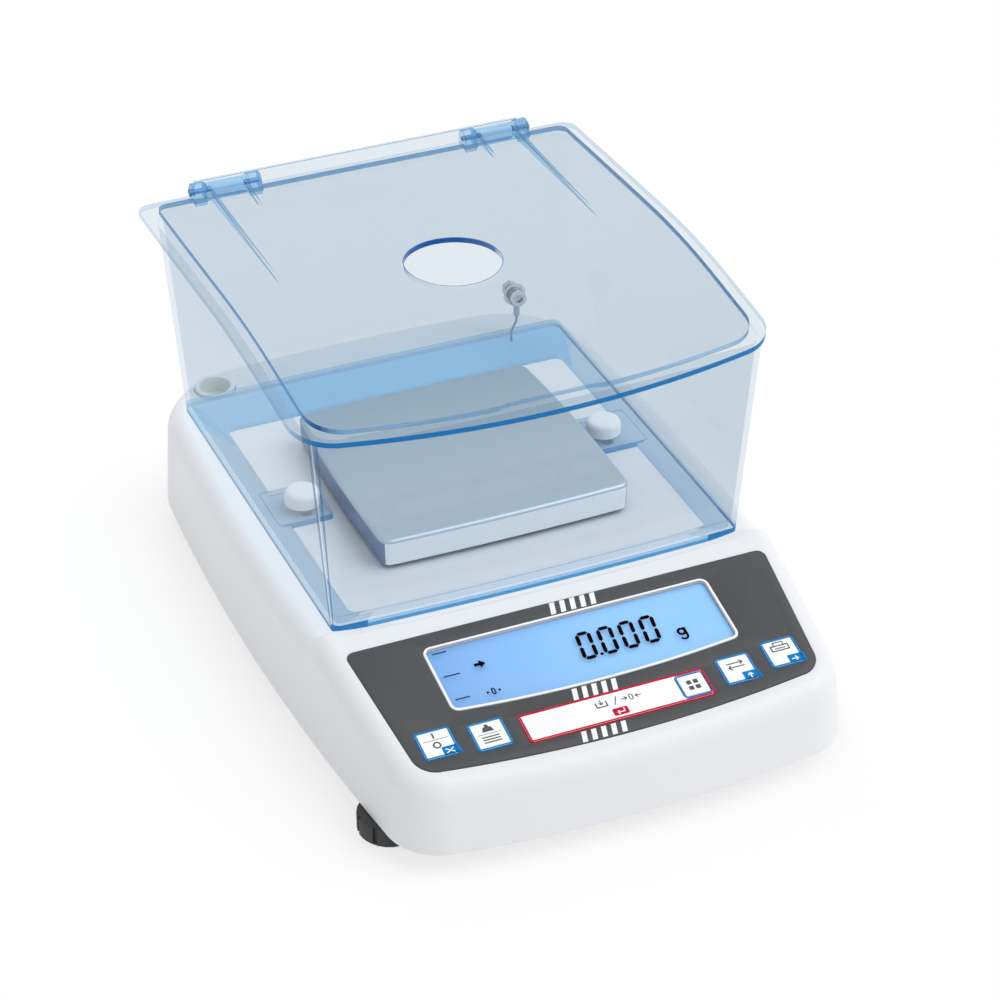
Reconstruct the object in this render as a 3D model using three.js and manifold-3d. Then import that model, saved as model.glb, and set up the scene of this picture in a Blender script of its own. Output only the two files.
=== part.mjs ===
// A precision balance with a draft shield, in millimetres, +Z up, front towards -Y.
// The origin is on the table, under the middle of the housing.
import * as THREE from 'three';
import { mergeVertices } from 'three/addons/utils/BufferGeometryUtils.js';
import Module from 'manifold-3d';

const wasm = await Module();
wasm.setup();

// Clearance between pieces that touch, the length by which cutters pass a face, and the distance
// under which two points of a mesh are one
const seatGap = 0.3;
const overrun = 2;
const mergeDistance = 1e-4;

// Levelling feet: a wheel with broad teeth on a low pad, turned by hand on a threaded stud
const foot = {
  height: 9, wheelRadius: 13.7, slotDepth: 1.5, slotWidth: 1.8, teeth: 8, padHeight: 0.8, padRadius: 13,
  studRadius: 3, studLength: 12, insertRadius: 4.4, insertHeight: 7,
  frontSideInset: 9, frontInset: 42.9, rearSideInset: 18.7, rearInset: 47.7,
};

// Housing: a barrel-shaped moulding, widest behind the middle, with drafted sides and a round top edge
const housing = {
  halfWidth: 110.7, halfDepth: 165.7, widestBehind: 15, height: 45.7, wall: 3, draft: 2, frontDraft: 3.9,
  sideRadius: 1320, frontRadius: 560, frontCorner: 24, rearRadius: 900, rearCorner: 46,
  filletWidth: 8.6, filletHeight: 8.5, filletStartDeg: 12, innerFilletWidth: 7.6,
};
const bottomZ = foot.height + seatGap;
const topZ = bottomZ + housing.height;
const base = { thickness: 2.5, sideGap: 1.1 };
const baseTop = bottomZ + base.thickness;

// Control deck: an inclined plane in front of a low ridge that follows the foot of the shield
const deck = {
  fromFront: 87.4, rise: 2.5, slopeShare: 0.228, ridgeBehind: 9.3, ridgeBow: 4.9, ridgeRun: 4.5, bowReach: 18,
};
const deckY = deck.fromFront - housing.halfDepth;
const deckZ = topZ + deck.rise;
const ridgeY = deckY + deck.ridgeBehind;
const deckAngle = Math.atan(deck.slopeShare);

// Panel overlay, in the deck's own plane; down is the distance below the overlay's top edge
const overlay = {
  topInset: 14.8, bottomInset: 21.2, cornerDown: 68.5, bottomDown: 75.1, topCorner: 4, bottomCorner: 9,
  thickness: 1, proud: 0.3,
};
const screen = {
  sideInset: 45.7, topDown: 7.2, height: 38.8, bottomBow: 3.6, corner: 3.8,
  ledge: 1, glassThickness: 2.2, backlightMargin: 3,
};
const key = {
  width: 14.8, height: 14.2, corner: 1, travel: 0.8, proud: 0.7, flange: 1, stemLength: 2.6, stemRadius: 3,
  outerSideInset: 33.1, outerDown: 56.2, innerSideInset: 55.1, innerDown: 58.6,
};
const tare = { sideInset: 69.4, height: 14.6, down: 60.7 };
const mode = { width: 11.6, height: 11.2, fromTareEnd: 6.9, flange: 0.6, flangeThickness: 0.8 };
const board = {
  thickness: 1.6, sideInset: 24.7, topDown: 3, bottomDown: 66, switchHeight: 2.4, corner: 2,
  postSideInset: 10, postTopDown: 10, postBottomDown: 40, postRadius: 3,
};

// Draft shield: drafted walls on a foot frame, and a crowned rim on top
const shield = {
  sideInset: 17, behindRidge: 2, rearInset: 33.4, height: 105.7, wall: 2.4, leanShare: 0.0755,
  sideRadius: 40000, frontRadius: 1984, rearRadius: 6000, corner: 4,
  frameThickness: 2, frameSide: 10.8, frameFront: 10.5, frameRear: 28.6, frameCorner: 4,
  bandHeight: 4.2, bandThickness: 1.2,
};
const shieldHalf = housing.halfWidth - shield.sideInset;
const shieldFront = ridgeY + deck.ridgeRun + shield.behindRidge;
const shieldRear = housing.halfDepth - shield.rearInset;
const shieldMiddle = (shieldFront + shieldRear) / 2;
const shieldFoot = topZ + seatGap;
const rim = {
  sideOverhang: 12.9, frontOverhang: 14.1, rearOverhang: 14.3, thickness: 2.4,
  sideRadius: 12000, frontRadius: 430, rearRadius: 9000, frontCorner: 20, rearCorner: 7,
  crestFromFront: 92.6, rearFallShare: 0.0445, frontFallShare: 0.103, crestBlend: 32,
};
const rimHalf = shieldHalf + rim.sideOverhang;
const rimFront = shieldFront - rim.frontOverhang;
const rimRear = shieldRear + rim.rearOverhang;
const crestY = rimFront + rim.crestFromFront;
const crestZ = shieldFoot + shield.height;

// Lid: a crowned plate that lies on the rim, with a round filling hole
const lid = {
  sideInset: 7.3, frontInset: 5.3, rearInset: 8, thickness: 2.4, sideRadius: 12000, frontRadius: 470,
  rearRadius: 9000, frontCorner: 17, rearCorner: 5, holeRadius: 21.2, holeFromRear: 105.1,
  recessHalfWidth: 26, recessDepth: 2.2, recessRun: 8,
};
const lidForm = {
  halfWidth: rimHalf - lid.sideInset, widestY: (rimFront + rimRear) / 2, sideRadius: lid.sideRadius,
  frontY: rimFront + lid.frontInset, frontRadius: lid.frontRadius, frontCorner: lid.frontCorner,
  rearY: rimRear - lid.rearInset, rearRadius: lid.rearRadius, rearCorner: lid.rearCorner,
};
const lip = { thickness: 1.9, rise: 2.8 };
const hinge = {
  sideInset: 34.1, halfLength: 10, rise: 4.2, barrelRadius: 3.4, clearance: 0.4, pinRadius: 1.2,
  cheekThickness: 6, cheekRadius: 4.2, pinHeadRadius: 1.9, pinHeadThickness: 0.8,
  ribThickness: 2, longRibFromHole: 11, shortRibLength: 22, ribRise: 3,
};
const lipFront = rimRear - lip.thickness;
const hingeY = lipFront - hinge.clearance - hinge.barrelRadius;
const hingeZ = rimTop(hingeY) + hinge.rise;
const hingeX = lidForm.halfWidth - hinge.sideInset;

// Locking knobs: a quarter turn sets their wings across the slots in the shield and the housing
const knob = {
  radius: 8, height: 6.4, crown: 2.6, shankRadius: 2.6,
  wingHalfLength: 6.5, wingHalfWidth: 2.3, wingThickness: 1.6,
  fromOpening: 10.5, tabReach: 20, tabHalfLength: 14, tabThickness: 3, ahead: 1.9, tabCorner: 2,
};
const openingHalf = shieldHalf - shield.frameSide;
const knobX = openingHalf - knob.fromOpening;
const knobY = shieldMiddle - knob.ahead;

// Weighing pan and what carries it
const pan = {
  rise: 14.8, sideGap: 35.1, endGap: 41.4, ahead: 6.3, widestInFront: 18.6, sideRadius: 900,
  frontRadius: 1500, rearRadius: 2500, corner: 5, wall: 1.2, skirt: 12.6, skirtInset: 0.5, edge: 1.6,
};
const panY = shieldMiddle - pan.ahead;
const panTop = topZ + pan.rise;
const panHalfWidth = shieldHalf - pan.sideGap;
const panHalfDepth = (shieldRear - shieldFront) / 2 - pan.endGap;
const carrier = {
  thickness: 2.5, armHalfWidth: 6, sideInset: 18.6, endInset: 22, hubRadius: 14,
  bufferRadius: 5, bufferHeight: 4.8,
};
const carrierTop = panTop - pan.wall - carrier.bufferHeight - 2 * seatGap;
const carrierBottom = carrierTop - carrier.thickness;
const reachX = panHalfWidth - carrier.sideInset;
const reachY = panHalfDepth - carrier.endInset;
const spindle = {
  radius: 4, footRadius: 6.8, footHeight: 3, studRadius: 2.4, studLength: 1.5, holeRadius: 12,
};

// Weigh cell: an aluminium bending block, fixed at its rear end, with the load receiver before its front
const cell = {
  halfWidth: 18, ahead: 7.4, length: 84, height: 23, mountHeight: 6.2, mountLength: 24,
  boreRadius: 5.5, frontBore: 25.2, rearBore: 46.2, slotHalfHeight: 1.5,
};
const cellFront = panY + cell.ahead;
const cellBottom = baseTop + cell.mountHeight;
const cellTop = cellBottom + cell.height;
const receiver = { halfWidth: 14, halfDepth: 7, lift: 2, stopRadius: 3, stopGap: 0.8 };

// Main circuit board, power socket and data port inside the housing
const mainBoard = {
  sideInset: 42.7, behindFront: 106, beforeSpindle: 24.3, thickness: 1.6,
  standoff: 6, standoffRadius: 3, standoffInset: 6,
};
const socket = {
  sideInset: 76.7, rise: 16.7, width: 9, height: 11, depth: 14, noseRadius: 3.8,
  boreRadius: 2.6, boreDepth: 9,
};
const port = {
  x: 6, rise: 16.7, width: 31, height: 12.5, depth: 12, plugWidth: 17, plugHeight: 8, plugWall: 1,
  plugDepth: 6, postRadius: 2.2, postX: 12.5,
};

const socketX = socket.sideInset - housing.halfWidth;

// Screws from below that close the housing
const baseScrew = {
  sideInset: 50.7, frontInset: 14.7, rearInset: 15.7, headRadius: 3.5, headHeight: 2.2, shankRadius: 1.5,
  length: 9, bossRadius: 4,
};

// Ground point on the shield's rear wall, with a wire that goes down into the housing
const ground = {
  sideInset: 22.7, rise: 23.1, screwRadius: 2, headRadius: 3.7, headHeight: 4,
  socketRadius: 1.8, socketDepth: 2.2,
  washerRadius: 5.6, washerThickness: 1, lugRadius: 4, lugThickness: 0.9, barrelRadius: 1.5,
  barrelLength: 6, nutRadius: 3.9, nutThickness: 3, screwTail: 0.8, wireRadius: 0.6, wireShift: 2.6,
  wireTail: 6, wireSides: 8, wireBendShare: 0.25,
};

// Spirit level on the housing, behind the shield
const level = {
  sideInset: 18.7, radius: 9.4, rise: 1.7, depth: 7, pocketRadius: 7.2, floor: 1.4,
  vialWall: 1.2, bubbleRadius: 3, bubbleThickness: 0.9, clearance: 0.7,
};
const levelX = level.sideInset - shieldHalf;
const levelY = shieldRear + level.radius + level.clearance;

// Number of flat faces along the round stretches
const faces = {
  side: 6, corner: 5, end: 10, round: 24, small: 12, crown: 18, fillet: 4, innerFillet: 2, key: 2,
  across: 8, innerAcross: 3, rib: 5, wire: 20, tooth: 3, hexagon: 6,
};

// Colours and finishes
const finish = (color, roughness, metalness = 0, extra = {}) =>
  new THREE.MeshStandardMaterial({ color, roughness, metalness, flatShading: true, ...extra });
const clear = { transparent: true, opacity: 0.35 };
const materials = {
  whitePlastic: finish(0xe9eaec, 0.45),
  panelGrey: finish(0x565758, 0.5),
  screenBlue: finish(0x9acdfc, 0.25),
  keyWhite: finish(0xf6f7f8, 0.4),
  windowClear: finish(0xdcebf6, 0.1, 0, clear),
  shieldBlue: finish(0x8fc1ea, 0.1, 0, clear),
  steel: finish(0xb4bfc9, 0.35, 0.9),
  aluminium: finish(0xc3c6c9, 0.4, 0.9),
  brass: finish(0xb99a55, 0.35, 0.9),
  rubber: finish(0x2b2c2d, 0.85),
  footGrey: finish(0x4a4a4a, 0.6),
  boardGreen: finish(0x2c6b45, 0.6),
  wire: finish(0x9fb3bd, 0.5),
  blackPlastic: finish(0x222325, 0.5),
  levelGreen: finish(0xc9dc7a, 0.15, 0, clear),
};

// Closed three.js geometry to a solid for joining and cutting, and back
function solid(geometry) {
  const bare = geometry.clone();
  bare.deleteAttribute('normal');
  bare.deleteAttribute('uv');
  const merged = mergeVertices(bare, mergeDistance);
  const vertProperties = new Float32Array(merged.attributes.position.array);
  const triVerts = new Uint32Array(merged.index.array);
  return new wasm.Manifold(new wasm.Mesh({ numProp: 3, vertProperties, triVerts }));
}

function geometryOf(body) {
  const { vertProperties, triVerts } = body.getMesh();
  const geometry = new THREE.BufferGeometry();
  geometry.setAttribute('position', new THREE.BufferAttribute(new Float32Array(vertProperties), 3));
  geometry.setIndex(new THREE.BufferAttribute(new Uint32Array(triVerts), 1));
  return geometry;
}

const join = (first, ...rest) => rest.reduce((sum, body) => sum.add(body), first);
const cut = (first, ...rest) => rest.reduce((left, body) => left.subtract(body), first);

function box(x0, x1, y0, y1, z0, z1) {
  const geometry = new THREE.BoxGeometry(x1 - x0, y1 - y0, z1 - z0);
  return solid(geometry.translate((x0 + x1) / 2, (y0 + y1) / 2, (z0 + z1) / 2));
}

// Cylinders between two places along one axis
function cylinder(radius, x, y, z0, z1, sides = faces.round) {
  const geometry = new THREE.CylinderGeometry(radius, radius, z1 - z0, sides);
  return solid(geometry.rotateX(Math.PI / 2).translate(x, y, (z0 + z1) / 2));
}

function cylinderAlongX(radius, x0, x1, y, z, sides = faces.small) {
  const geometry = new THREE.CylinderGeometry(radius, radius, x1 - x0, sides);
  return solid(geometry.rotateZ(Math.PI / 2).translate((x0 + x1) / 2, y, z));
}

function cylinderAlongY(radius, x, y0, y1, z, sides = faces.small) {
  const geometry = new THREE.CylinderGeometry(radius, radius, y1 - y0, sides);
  return solid(geometry.translate(x, (y0 + y1) / 2, z));
}

// A round solid about the Z axis through [0, 0], from a closed profile of [radius, z] points
function turned(points, sides = faces.round) {
  const profile = points.map(([radius, z]) => new THREE.Vector2(radius, z));
  return solid(new THREE.LatheGeometry(profile, sides).rotateX(Math.PI / 2));
}

// A prism between two heights, over a closed outline of [x, y] points
function prism(points, z0, z1) {
  const shape = new THREE.Shape(points.map(([x, y]) => new THREE.Vector2(x, y)));
  const geometry = new THREE.ExtrudeGeometry(shape, { depth: z1 - z0, bevelEnabled: false });
  return solid(geometry.translate(0, 0, z0));
}

// A prism across X, over a closed outline of [y, z] points
function prismAcrossX(points, x0, x1) {
  const shape = new THREE.Shape(points.map(([y, z]) => new THREE.Vector2(y, z)));
  const geometry = new THREE.ExtrudeGeometry(shape, { depth: x1 - x0, bevelEnabled: false });
  const turn = new THREE.Matrix4().makeBasis(
    new THREE.Vector3(0, 1, 0), new THREE.Vector3(0, 0, 1), new THREE.Vector3(1, 0, 0));
  return solid(geometry.applyMatrix4(turn).translate(x0, 0, 0));
}

function roundedRectangle(x0, x1, y0, y1, radius, steps = faces.key) {
  const corners = [
    [x1 - radius, y1 - radius], [x0 + radius, y1 - radius],
    [x0 + radius, y0 + radius], [x1 - radius, y0 + radius],
  ];
  const points = [];
  corners.forEach(([x, y], quarter) => {
    for (let i = 0; i <= steps; i++) {
      const angle = (Math.PI / 2) * (quarter + i / steps);
      points.push([x + radius * Math.cos(angle), y + radius * Math.sin(angle)]);
    }
  });
  return points;
}

// A four-sided outline with bowed sides and round corners, symmetric in x. Its arcs keep their centres
// when it is inset. Points run from the middle of the rear edge down the left side and back up the right
// one; rows asks for extra points on the sides, at those y on the outline inset by rowInset.
function barrel(form, inset = 0, rows = [], rowInset = 0) {
  const side = { x: form.sideRadius - form.halfWidth, y: form.widestY };
  const rear = { y: form.rearY - form.rearRadius, radius: form.rearRadius, corner: form.rearCorner };
  const front = { y: form.frontY + form.frontRadius, radius: form.frontRadius, corner: form.frontCorner };
  // A left corner's centre is where the side's circle meets the end's, both inset by the corner's radius
  const cornerCentre = (end, sign) => {
    const a = form.sideRadius - end.corner;
    const b = end.radius - end.corner;
    const dx = -side.x;
    const dy = end.y - side.y;
    const distance = Math.hypot(dx, dy);
    const along = (a * a - b * b + distance * distance) / (2 * distance);
    const across = Math.sqrt(a * a - along * along);
    const candidates = [across, -across].map((offset) => ({
      x: side.x + (along * dx - offset * dy) / distance,
      y: side.y + (along * dy + offset * dx) / distance,
    }));
    return candidates.sort((p, q) => sign * (q.y - p.y))[0];
  };
  const rearCorner = cornerCentre(rear, 1);
  const frontCorner = cornerCentre(front, -1);
  const angleTo = (from, to) => {
    const angle = Math.atan2(to.y - from.y, to.x - from.x);
    return angle < 0 ? angle + 2 * Math.PI : angle;
  };
  const rearCentre = { x: 0, y: rear.y };
  const frontCentre = { x: 0, y: front.y };
  const stretches = [
    { centre: rearCentre, radius: rear.radius, from: Math.PI / 2, steps: faces.end / 2 },
    { centre: rearCorner, radius: rear.corner, from: angleTo(rearCentre, rearCorner), steps: faces.corner },
    { centre: side, radius: form.sideRadius, from: angleTo(side, rearCorner), steps: faces.side },
    { centre: frontCorner, radius: front.corner, from: angleTo(side, frontCorner), steps: faces.corner },
    {
      centre: frontCentre, radius: front.radius, from: angleTo(frontCentre, frontCorner),
      steps: faces.end / 2,
    },
  ];
  const left = [];
  stretches.forEach(({ centre, radius, from, steps }, k) => {
    const to = k + 1 < stretches.length ? stretches[k + 1].from : 1.5 * Math.PI;
    const angles = Array.from({ length: steps }, (_, i) => from + ((to - from) * i) / steps);
    if (centre === side) {
      const between = rows.map((y) => Math.PI - Math.asin((y - side.y) / (form.sideRadius - rowInset)));
      angles.push(...between.filter((angle) => angle > from && angle < to));
      angles.sort((p, q) => p - q);
    }
    for (const angle of angles) {
      const reach = radius - inset;
      left.push([centre.x + reach * Math.cos(angle), centre.y + reach * Math.sin(angle)]);
    }
  });
  left[0] = [0, left[0][1]];
  left.push([0, form.frontY + inset]);
  return [...left, ...left.slice(1, -1).reverse().map(([x, y]) => [-x, y])];
}

// A closed skin over rings of [x, y, z] points like those of barrel(). The last ring is covered by strips
// from left to right, with points between them set by place(x, y, edgeX).
function skin(rings, columns = 1, place = null) {
  const count = rings[0].length;
  const position = rings.flat(2);
  const index = [];
  for (let ring = 0; ring + 1 < rings.length; ring++) {
    for (let i = 0; i < count; i++) {
      const a = ring * count + i;
      const b = ring * count + ((i + 1) % count);
      index.push(a, b, a + count, b, b + count, a + count);
    }
  }
  const cover = (ring, across, facesDown) => {
    const row = (k) => {
      const left = ring * count + k;
      const right = ring * count + ((count - k) % count);
      if (left === right) return Array(across + 1).fill(left);
      const [x, y] = rings[ring][k];
      const between = Array.from({ length: across - 1 }, (_, j) => {
        position.push(...place(x * (1 - (2 * (j + 1)) / across), y, x));
        return position.length / 3 - 1;
      });
      return [left, ...between, right];
    };
    let before = row(0);
    for (let k = 1; k <= count / 2; k++) {
      const next = row(k);
      for (let j = 0; j < across; j++) {
        const pair = [[before[j], before[j + 1], next[j]], [before[j + 1], next[j + 1], next[j]]];
        for (const [a, b, c] of pair) {
          if (a === b || b === c || a === c) continue;
          index.push(...(facesDown ? [a, b, c] : [a, c, b]));
        }
      }
      before = next;
    }
  };
  cover(0, 1, true);
  cover(rings.length - 1, columns, false);
  const geometry = new THREE.BufferGeometry();
  geometry.setAttribute('position', new THREE.BufferAttribute(new Float32Array(position), 3));
  geometry.setIndex(index);
  return solid(geometry);
}

const atHeight = (outline, z) => outline.map(([x, y]) => [x, y, z]);

// A smooth step from 0 to 1 as t goes from 0 to 1
const smoothStep = (t) => {
  const s = Math.min(Math.max(t, 0), 1);
  return s * s * (3 - 2 * s);
};

// The ridge bows forward in the middle
const ridgeBowAt = (x) => deck.ridgeBow * (x / housing.halfWidth) ** 2;

// Height of the housing's outside, seen from above
function housingTop(x, y) {
  const plane = deckZ + deck.slopeShare * (Math.min(y, ridgeY) - deckY);
  const behind = smoothStep((y - ridgeY - ridgeBowAt(x)) / deck.ridgeRun);
  return plane + (topZ - plane) * behind;
}

// Height of the rim's upper face: two straight falls from a rounded crest
function rimTop(y) {
  const ahead = y - crestY;
  if (ahead >= rim.crestBlend) return crestZ - rim.rearFallShare * ahead;
  if (ahead <= -rim.crestBlend) return crestZ + rim.frontFallShare * ahead;
  const mean = (rim.frontFallShare + rim.rearFallShare) / 2;
  const lean = (rim.frontFallShare - rim.rearFallShare) / 2;
  return crestZ + lean * ahead - (mean * (ahead ** 2 + rim.crestBlend ** 2)) / (2 * rim.crestBlend);
}

// Everything between two distances above the rim's upper face
function crownSheet(below, above) {
  const y0 = rimFront - overrun;
  const y1 = rimRear + overrun;
  const ys = Array.from({ length: faces.crown + 1 }, (_, i) => y0 + ((y1 - y0) * i) / faces.crown);
  const lower = ys.map((y) => [y, rimTop(y) + below]);
  const upper = ys.map((y) => [y, rimTop(y) + above]).reverse();
  return prismAcrossX([...lower, ...upper], -rimHalf - overrun, rimHalf + overrun);
}

// Pieces of the deck lie in a group that has the deck's plane
const deckGroup = new THREE.Group();
deckGroup.position.set(0, deckY, deckZ);
deckGroup.rotation.x = deckAngle;
deckGroup.updateMatrix();
const onDeck = (body) => solid(geometryOf(body).applyMatrix4(deckGroup.matrix));

const housingForm = {
  halfWidth: housing.halfWidth, widestY: housing.widestBehind, sideRadius: housing.sideRadius,
  frontY: -housing.halfDepth, frontRadius: housing.frontRadius, frontCorner: housing.frontCorner,
  rearY: housing.halfDepth, rearRadius: housing.rearRadius, rearCorner: housing.rearCorner,
};
// Rows of points across the housing that follow the ridge, as shares of its run
const ridgeRowShares = [-3, -0.5, 0, 0.35, 0.7, 1, 2];

// The housing's skin, or with an inset the hollow inside it. The front leans back more than the sides,
// and the round edge starts at a soft crease.
function housingSkin(inset, fromZ, filletWidth, filletSteps, across) {
  const edgeBow = ridgeBowAt(housing.halfWidth - housing.draft - housing.filletWidth);
  const rows = ridgeRowShares.map((share) => ridgeY + edgeBow + share * deck.ridgeRun);
  const crestInset = inset + housing.draft + filletWidth;
  const leant = { ...housingForm, frontY: housingForm.frontY + housing.frontDraft - housing.draft };
  const outline = (form, more) => barrel(form, inset + more, rows, crestInset);
  const heights = outline(leant, housing.draft + filletWidth).map(([x, y]) => housingTop(x, y) - inset);
  const rings = [atHeight(outline(housingForm, 0), fromZ)];
  const start = THREE.MathUtils.degToRad(housing.filletStartDeg);
  for (let j = 0; j <= filletSteps; j++) {
    const turn = start + ((Math.PI / 2 - start) * j) / filletSteps;
    const ring = outline(leant, housing.draft + filletWidth * (1 - Math.cos(turn) / Math.cos(start)));
    const drop = (housing.filletHeight * (1 - Math.sin(turn))) / (1 - Math.sin(start));
    rings.push(ring.map(([x, y], i) => [x, y, heights[i] - drop]));
  }
  const place = (x, y, edgeX) => {
    const away = Math.abs(y - ridgeY - edgeBow) - deck.bowReach;
    const follows = 1 - smoothStep(away / deck.bowReach);
    const bowed = y + follows * (ridgeBowAt(x) - ridgeBowAt(edgeX));
    return [x, bowed, housingTop(x, bowed) - inset];
  };
  return skin(rings, across, place);
}

// An outline with a straight top edge, slanted sides and a bowed bottom edge, in the deck's plane
function panelOutline(form, grow = 0) {
  const sideAt = (down) => form.topHalf + grow
    + ((form.bottomHalf - form.topHalf) * (down - form.topDown)) / (form.cornerDown - form.topDown);
  const lowX = sideAt(form.cornerDown);
  const bottomAt = (x) => form.bottomDown + grow - (form.bottomDown - form.cornerDown) * (x / lowX) ** 2;
  const topCorner = form.topCorner + grow;
  const bottomCorner = form.bottomCorner + grow;
  const right = [];
  for (let i = 0; i <= faces.corner; i++) {
    const angle = (Math.PI / 2) * (1 - i / faces.corner);
    const down = form.topDown - grow + topCorner * (1 - Math.sin(angle));
    right.push([sideAt(down) - topCorner * (1 - Math.cos(angle)), -down]);
  }
  for (let i = 0; i <= faces.corner; i++) {
    const angle = (Math.PI / 2) * (i / faces.corner);
    const down = bottomAt(lowX - bottomCorner) - bottomCorner * (1 - Math.sin(angle));
    right.push([sideAt(down) - bottomCorner * (1 - Math.cos(angle)), -down]);
  }
  for (let i = 1; i < faces.end / 2; i++) {
    const x = (lowX - bottomCorner) * (1 - i / (faces.end / 2));
    right.push([x, -bottomAt(x)]);
  }
  return [...right, [0, -bottomAt(0)], ...right.slice().reverse().map(([x, y]) => [-x, y])];
}

const overlayForm = {
  topHalf: housing.halfWidth - overlay.topInset, bottomHalf: housing.halfWidth - overlay.bottomInset,
  topDown: 0, cornerDown: overlay.cornerDown, bottomDown: overlay.bottomDown,
  topCorner: overlay.topCorner, bottomCorner: overlay.bottomCorner,
};
const screenHalf = housing.halfWidth - screen.sideInset;
const screenForm = {
  topHalf: screenHalf, bottomHalf: screenHalf, topDown: screen.topDown,
  cornerDown: screen.topDown + screen.height - screen.bottomBow,
  bottomDown: screen.topDown + screen.height, topCorner: screen.corner, bottomCorner: screen.corner,
};

// Levels below the deck's plane, from the overlay down to the key board
const overlayBottom = overlay.proud - overlay.thickness;
const recessFloor = overlayBottom - seatGap;
const glassTop = recessFloor - seatGap;
const glassBottom = glassTop - screen.glassThickness;
const flangeTop = -(housing.wall + seatGap);
const flangeBottom = flangeTop - key.flange;
const stemEnd = flangeBottom - key.stemLength;
const boardTop = stemEnd - key.travel - seatGap - board.switchHeight;
const boardBottom = boardTop - board.thickness;

const outerKeyX = housing.halfWidth - key.outerSideInset;
const innerKeyX = housing.halfWidth - key.innerSideInset;
const squareKeys = [
  { name: 'key_on_off', x: -outerKeyX, down: key.outerDown },
  { name: 'key_menu', x: -innerKeyX, down: key.innerDown },
  { name: 'key_unit', x: innerKeyX, down: key.innerDown },
  { name: 'key_print', x: outerKeyX, down: key.outerDown },
].map((place) => ({ ...place, halfWidth: key.width / 2, halfHeight: key.height / 2 }));
const tareHalf = housing.halfWidth - tare.sideInset;
const tareKey = {
  name: 'key_tare', x: 0, down: tare.down, halfWidth: tareHalf, halfHeight: tare.height / 2,
};
const modeKey = {
  name: 'key_mode', x: tareHalf - mode.fromTareEnd, down: tare.down,
  halfWidth: mode.width / 2, halfHeight: mode.height / 2,
};
const keyOutline = ({ x, down, halfWidth, halfHeight }, grow = 0) => roundedRectangle(
  x - halfWidth - grow, x + halfWidth + grow, -down - halfHeight - grow, -down + halfHeight + grow,
  key.corner + grow);

// A key: a cap through the overlay and the shell, a flange that stays under the shell, and a stem
function keyBody(place, flange, top, bottom) {
  return join(
    prism(keyOutline(place), bottom, key.proud),
    prism(keyOutline(place, flange), bottom, top),
    cylinder(key.stemRadius, place.x, -place.down, stemEnd, top, faces.small));
}

// Shell with its deck recess, the key and screen openings, and the posts for the screws
const screws = [-1, 1].flatMap((side) => [
  { x: side * (housing.halfWidth - baseScrew.sideInset), y: baseScrew.frontInset - housing.halfDepth },
  { x: side * (housing.halfWidth - baseScrew.sideInset), y: housing.halfDepth - baseScrew.rearInset },
]);
const boardHalf = housing.halfWidth - board.sideInset;
const boardPosts = [-1, 1].flatMap((side) => [board.postTopDown, board.postBottomDown].map(
  (down) => ({ x: side * (boardHalf - board.postSideInset), down })));
const knobSlot = (sign) => roundedRectangle(
  sign * knobX - knob.wingHalfWidth - seatGap, sign * knobX + knob.wingHalfWidth + seatGap,
  knobY - knob.wingHalfLength - seatGap, knobY + knob.wingHalfLength + seatGap, knob.wingHalfWidth);
const rearFace = (x, rise) => housing.halfDepth - housing.rearRadius
  + Math.sqrt(housing.rearRadius ** 2 - x ** 2)
  - (housing.draft * rise) / (housing.height - housing.filletHeight);
const behindWall = ({ x, rise, width, height }) => rearFace(Math.abs(x) + width / 2, rise + height / 2)
  - housing.wall - seatGap;
const socketY = behindWall({ ...socket, x: socketX });

function housingTopBody() {
  const hollow = housingSkin(housing.wall, bottomZ - overrun, housing.innerFilletWidth,
    faces.innerFillet, faces.innerAcross);
  let body = housingSkin(0, bottomZ, housing.filletWidth, faces.fillet, faces.across).subtract(hollow);
  for (const { x, y } of screws) {
    const top = housingTop(x, y) - housing.wall / 2;
    body = join(body, cylinder(baseScrew.bossRadius, x, y, baseTop + seatGap, top, faces.small));
  }
  for (const { x, down } of boardPosts) {
    body = join(body, onDeck(cylinder(board.postRadius, x, -down, boardTop + seatGap,
      -housing.wall / 2, faces.small)));
  }
  const cutters = [
    onDeck(prism(panelOutline(overlayForm, seatGap), recessFloor, key.proud + overrun)),
    onDeck(prism(panelOutline(screenForm, -screen.ledge), flangeTop - overrun, recessFloor + overrun)),
    ...squareKeys.map((place) => onDeck(prism(keyOutline(place, seatGap), flangeTop - overrun, overrun))),
    onDeck(prism(keyOutline(tareKey, seatGap), flangeTop - overrun, overrun)),
    ...screws.map(({ x, y }) => cylinder(baseScrew.shankRadius + seatGap, x, y, baseTop - overrun,
      baseTop + baseScrew.length, faces.small)),
    cylinder(spindle.holeRadius, 0, panY, topZ - housing.wall - overrun, topZ + overrun),
    ...[-1, 1].map((side) => prism(knobSlot(side), topZ - housing.wall - overrun, topZ + overrun)),
    cylinder(level.radius + seatGap, levelX, levelY, topZ - level.depth - overrun, topZ + overrun),
    cylinder(ground.wireRadius + seatGap, groundX - ground.wireShift, barrelY,
      topZ - housing.wall - overrun, topZ + overrun, faces.small),
    cylinderAlongY(socket.noseRadius + seatGap, socketX, socketY - overrun,
      housing.halfDepth + overrun, bottomZ + socket.rise),
    ...[-1, 1].map((side) => cylinderAlongY(port.postRadius + seatGap, port.x + side * port.postX,
      behindWall(port) - overrun, housing.halfDepth + overrun, bottomZ + port.rise)),
    box(port.x - port.plugWidth / 2 - seatGap, port.x + port.plugWidth / 2 + seatGap,
      behindWall(port) - overrun, housing.halfDepth + overrun,
      bottomZ + port.rise - port.plugHeight / 2 - seatGap,
      bottomZ + port.rise + port.plugHeight / 2 + seatGap),
  ];
  return cut(body, ...cutters);
}

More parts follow.
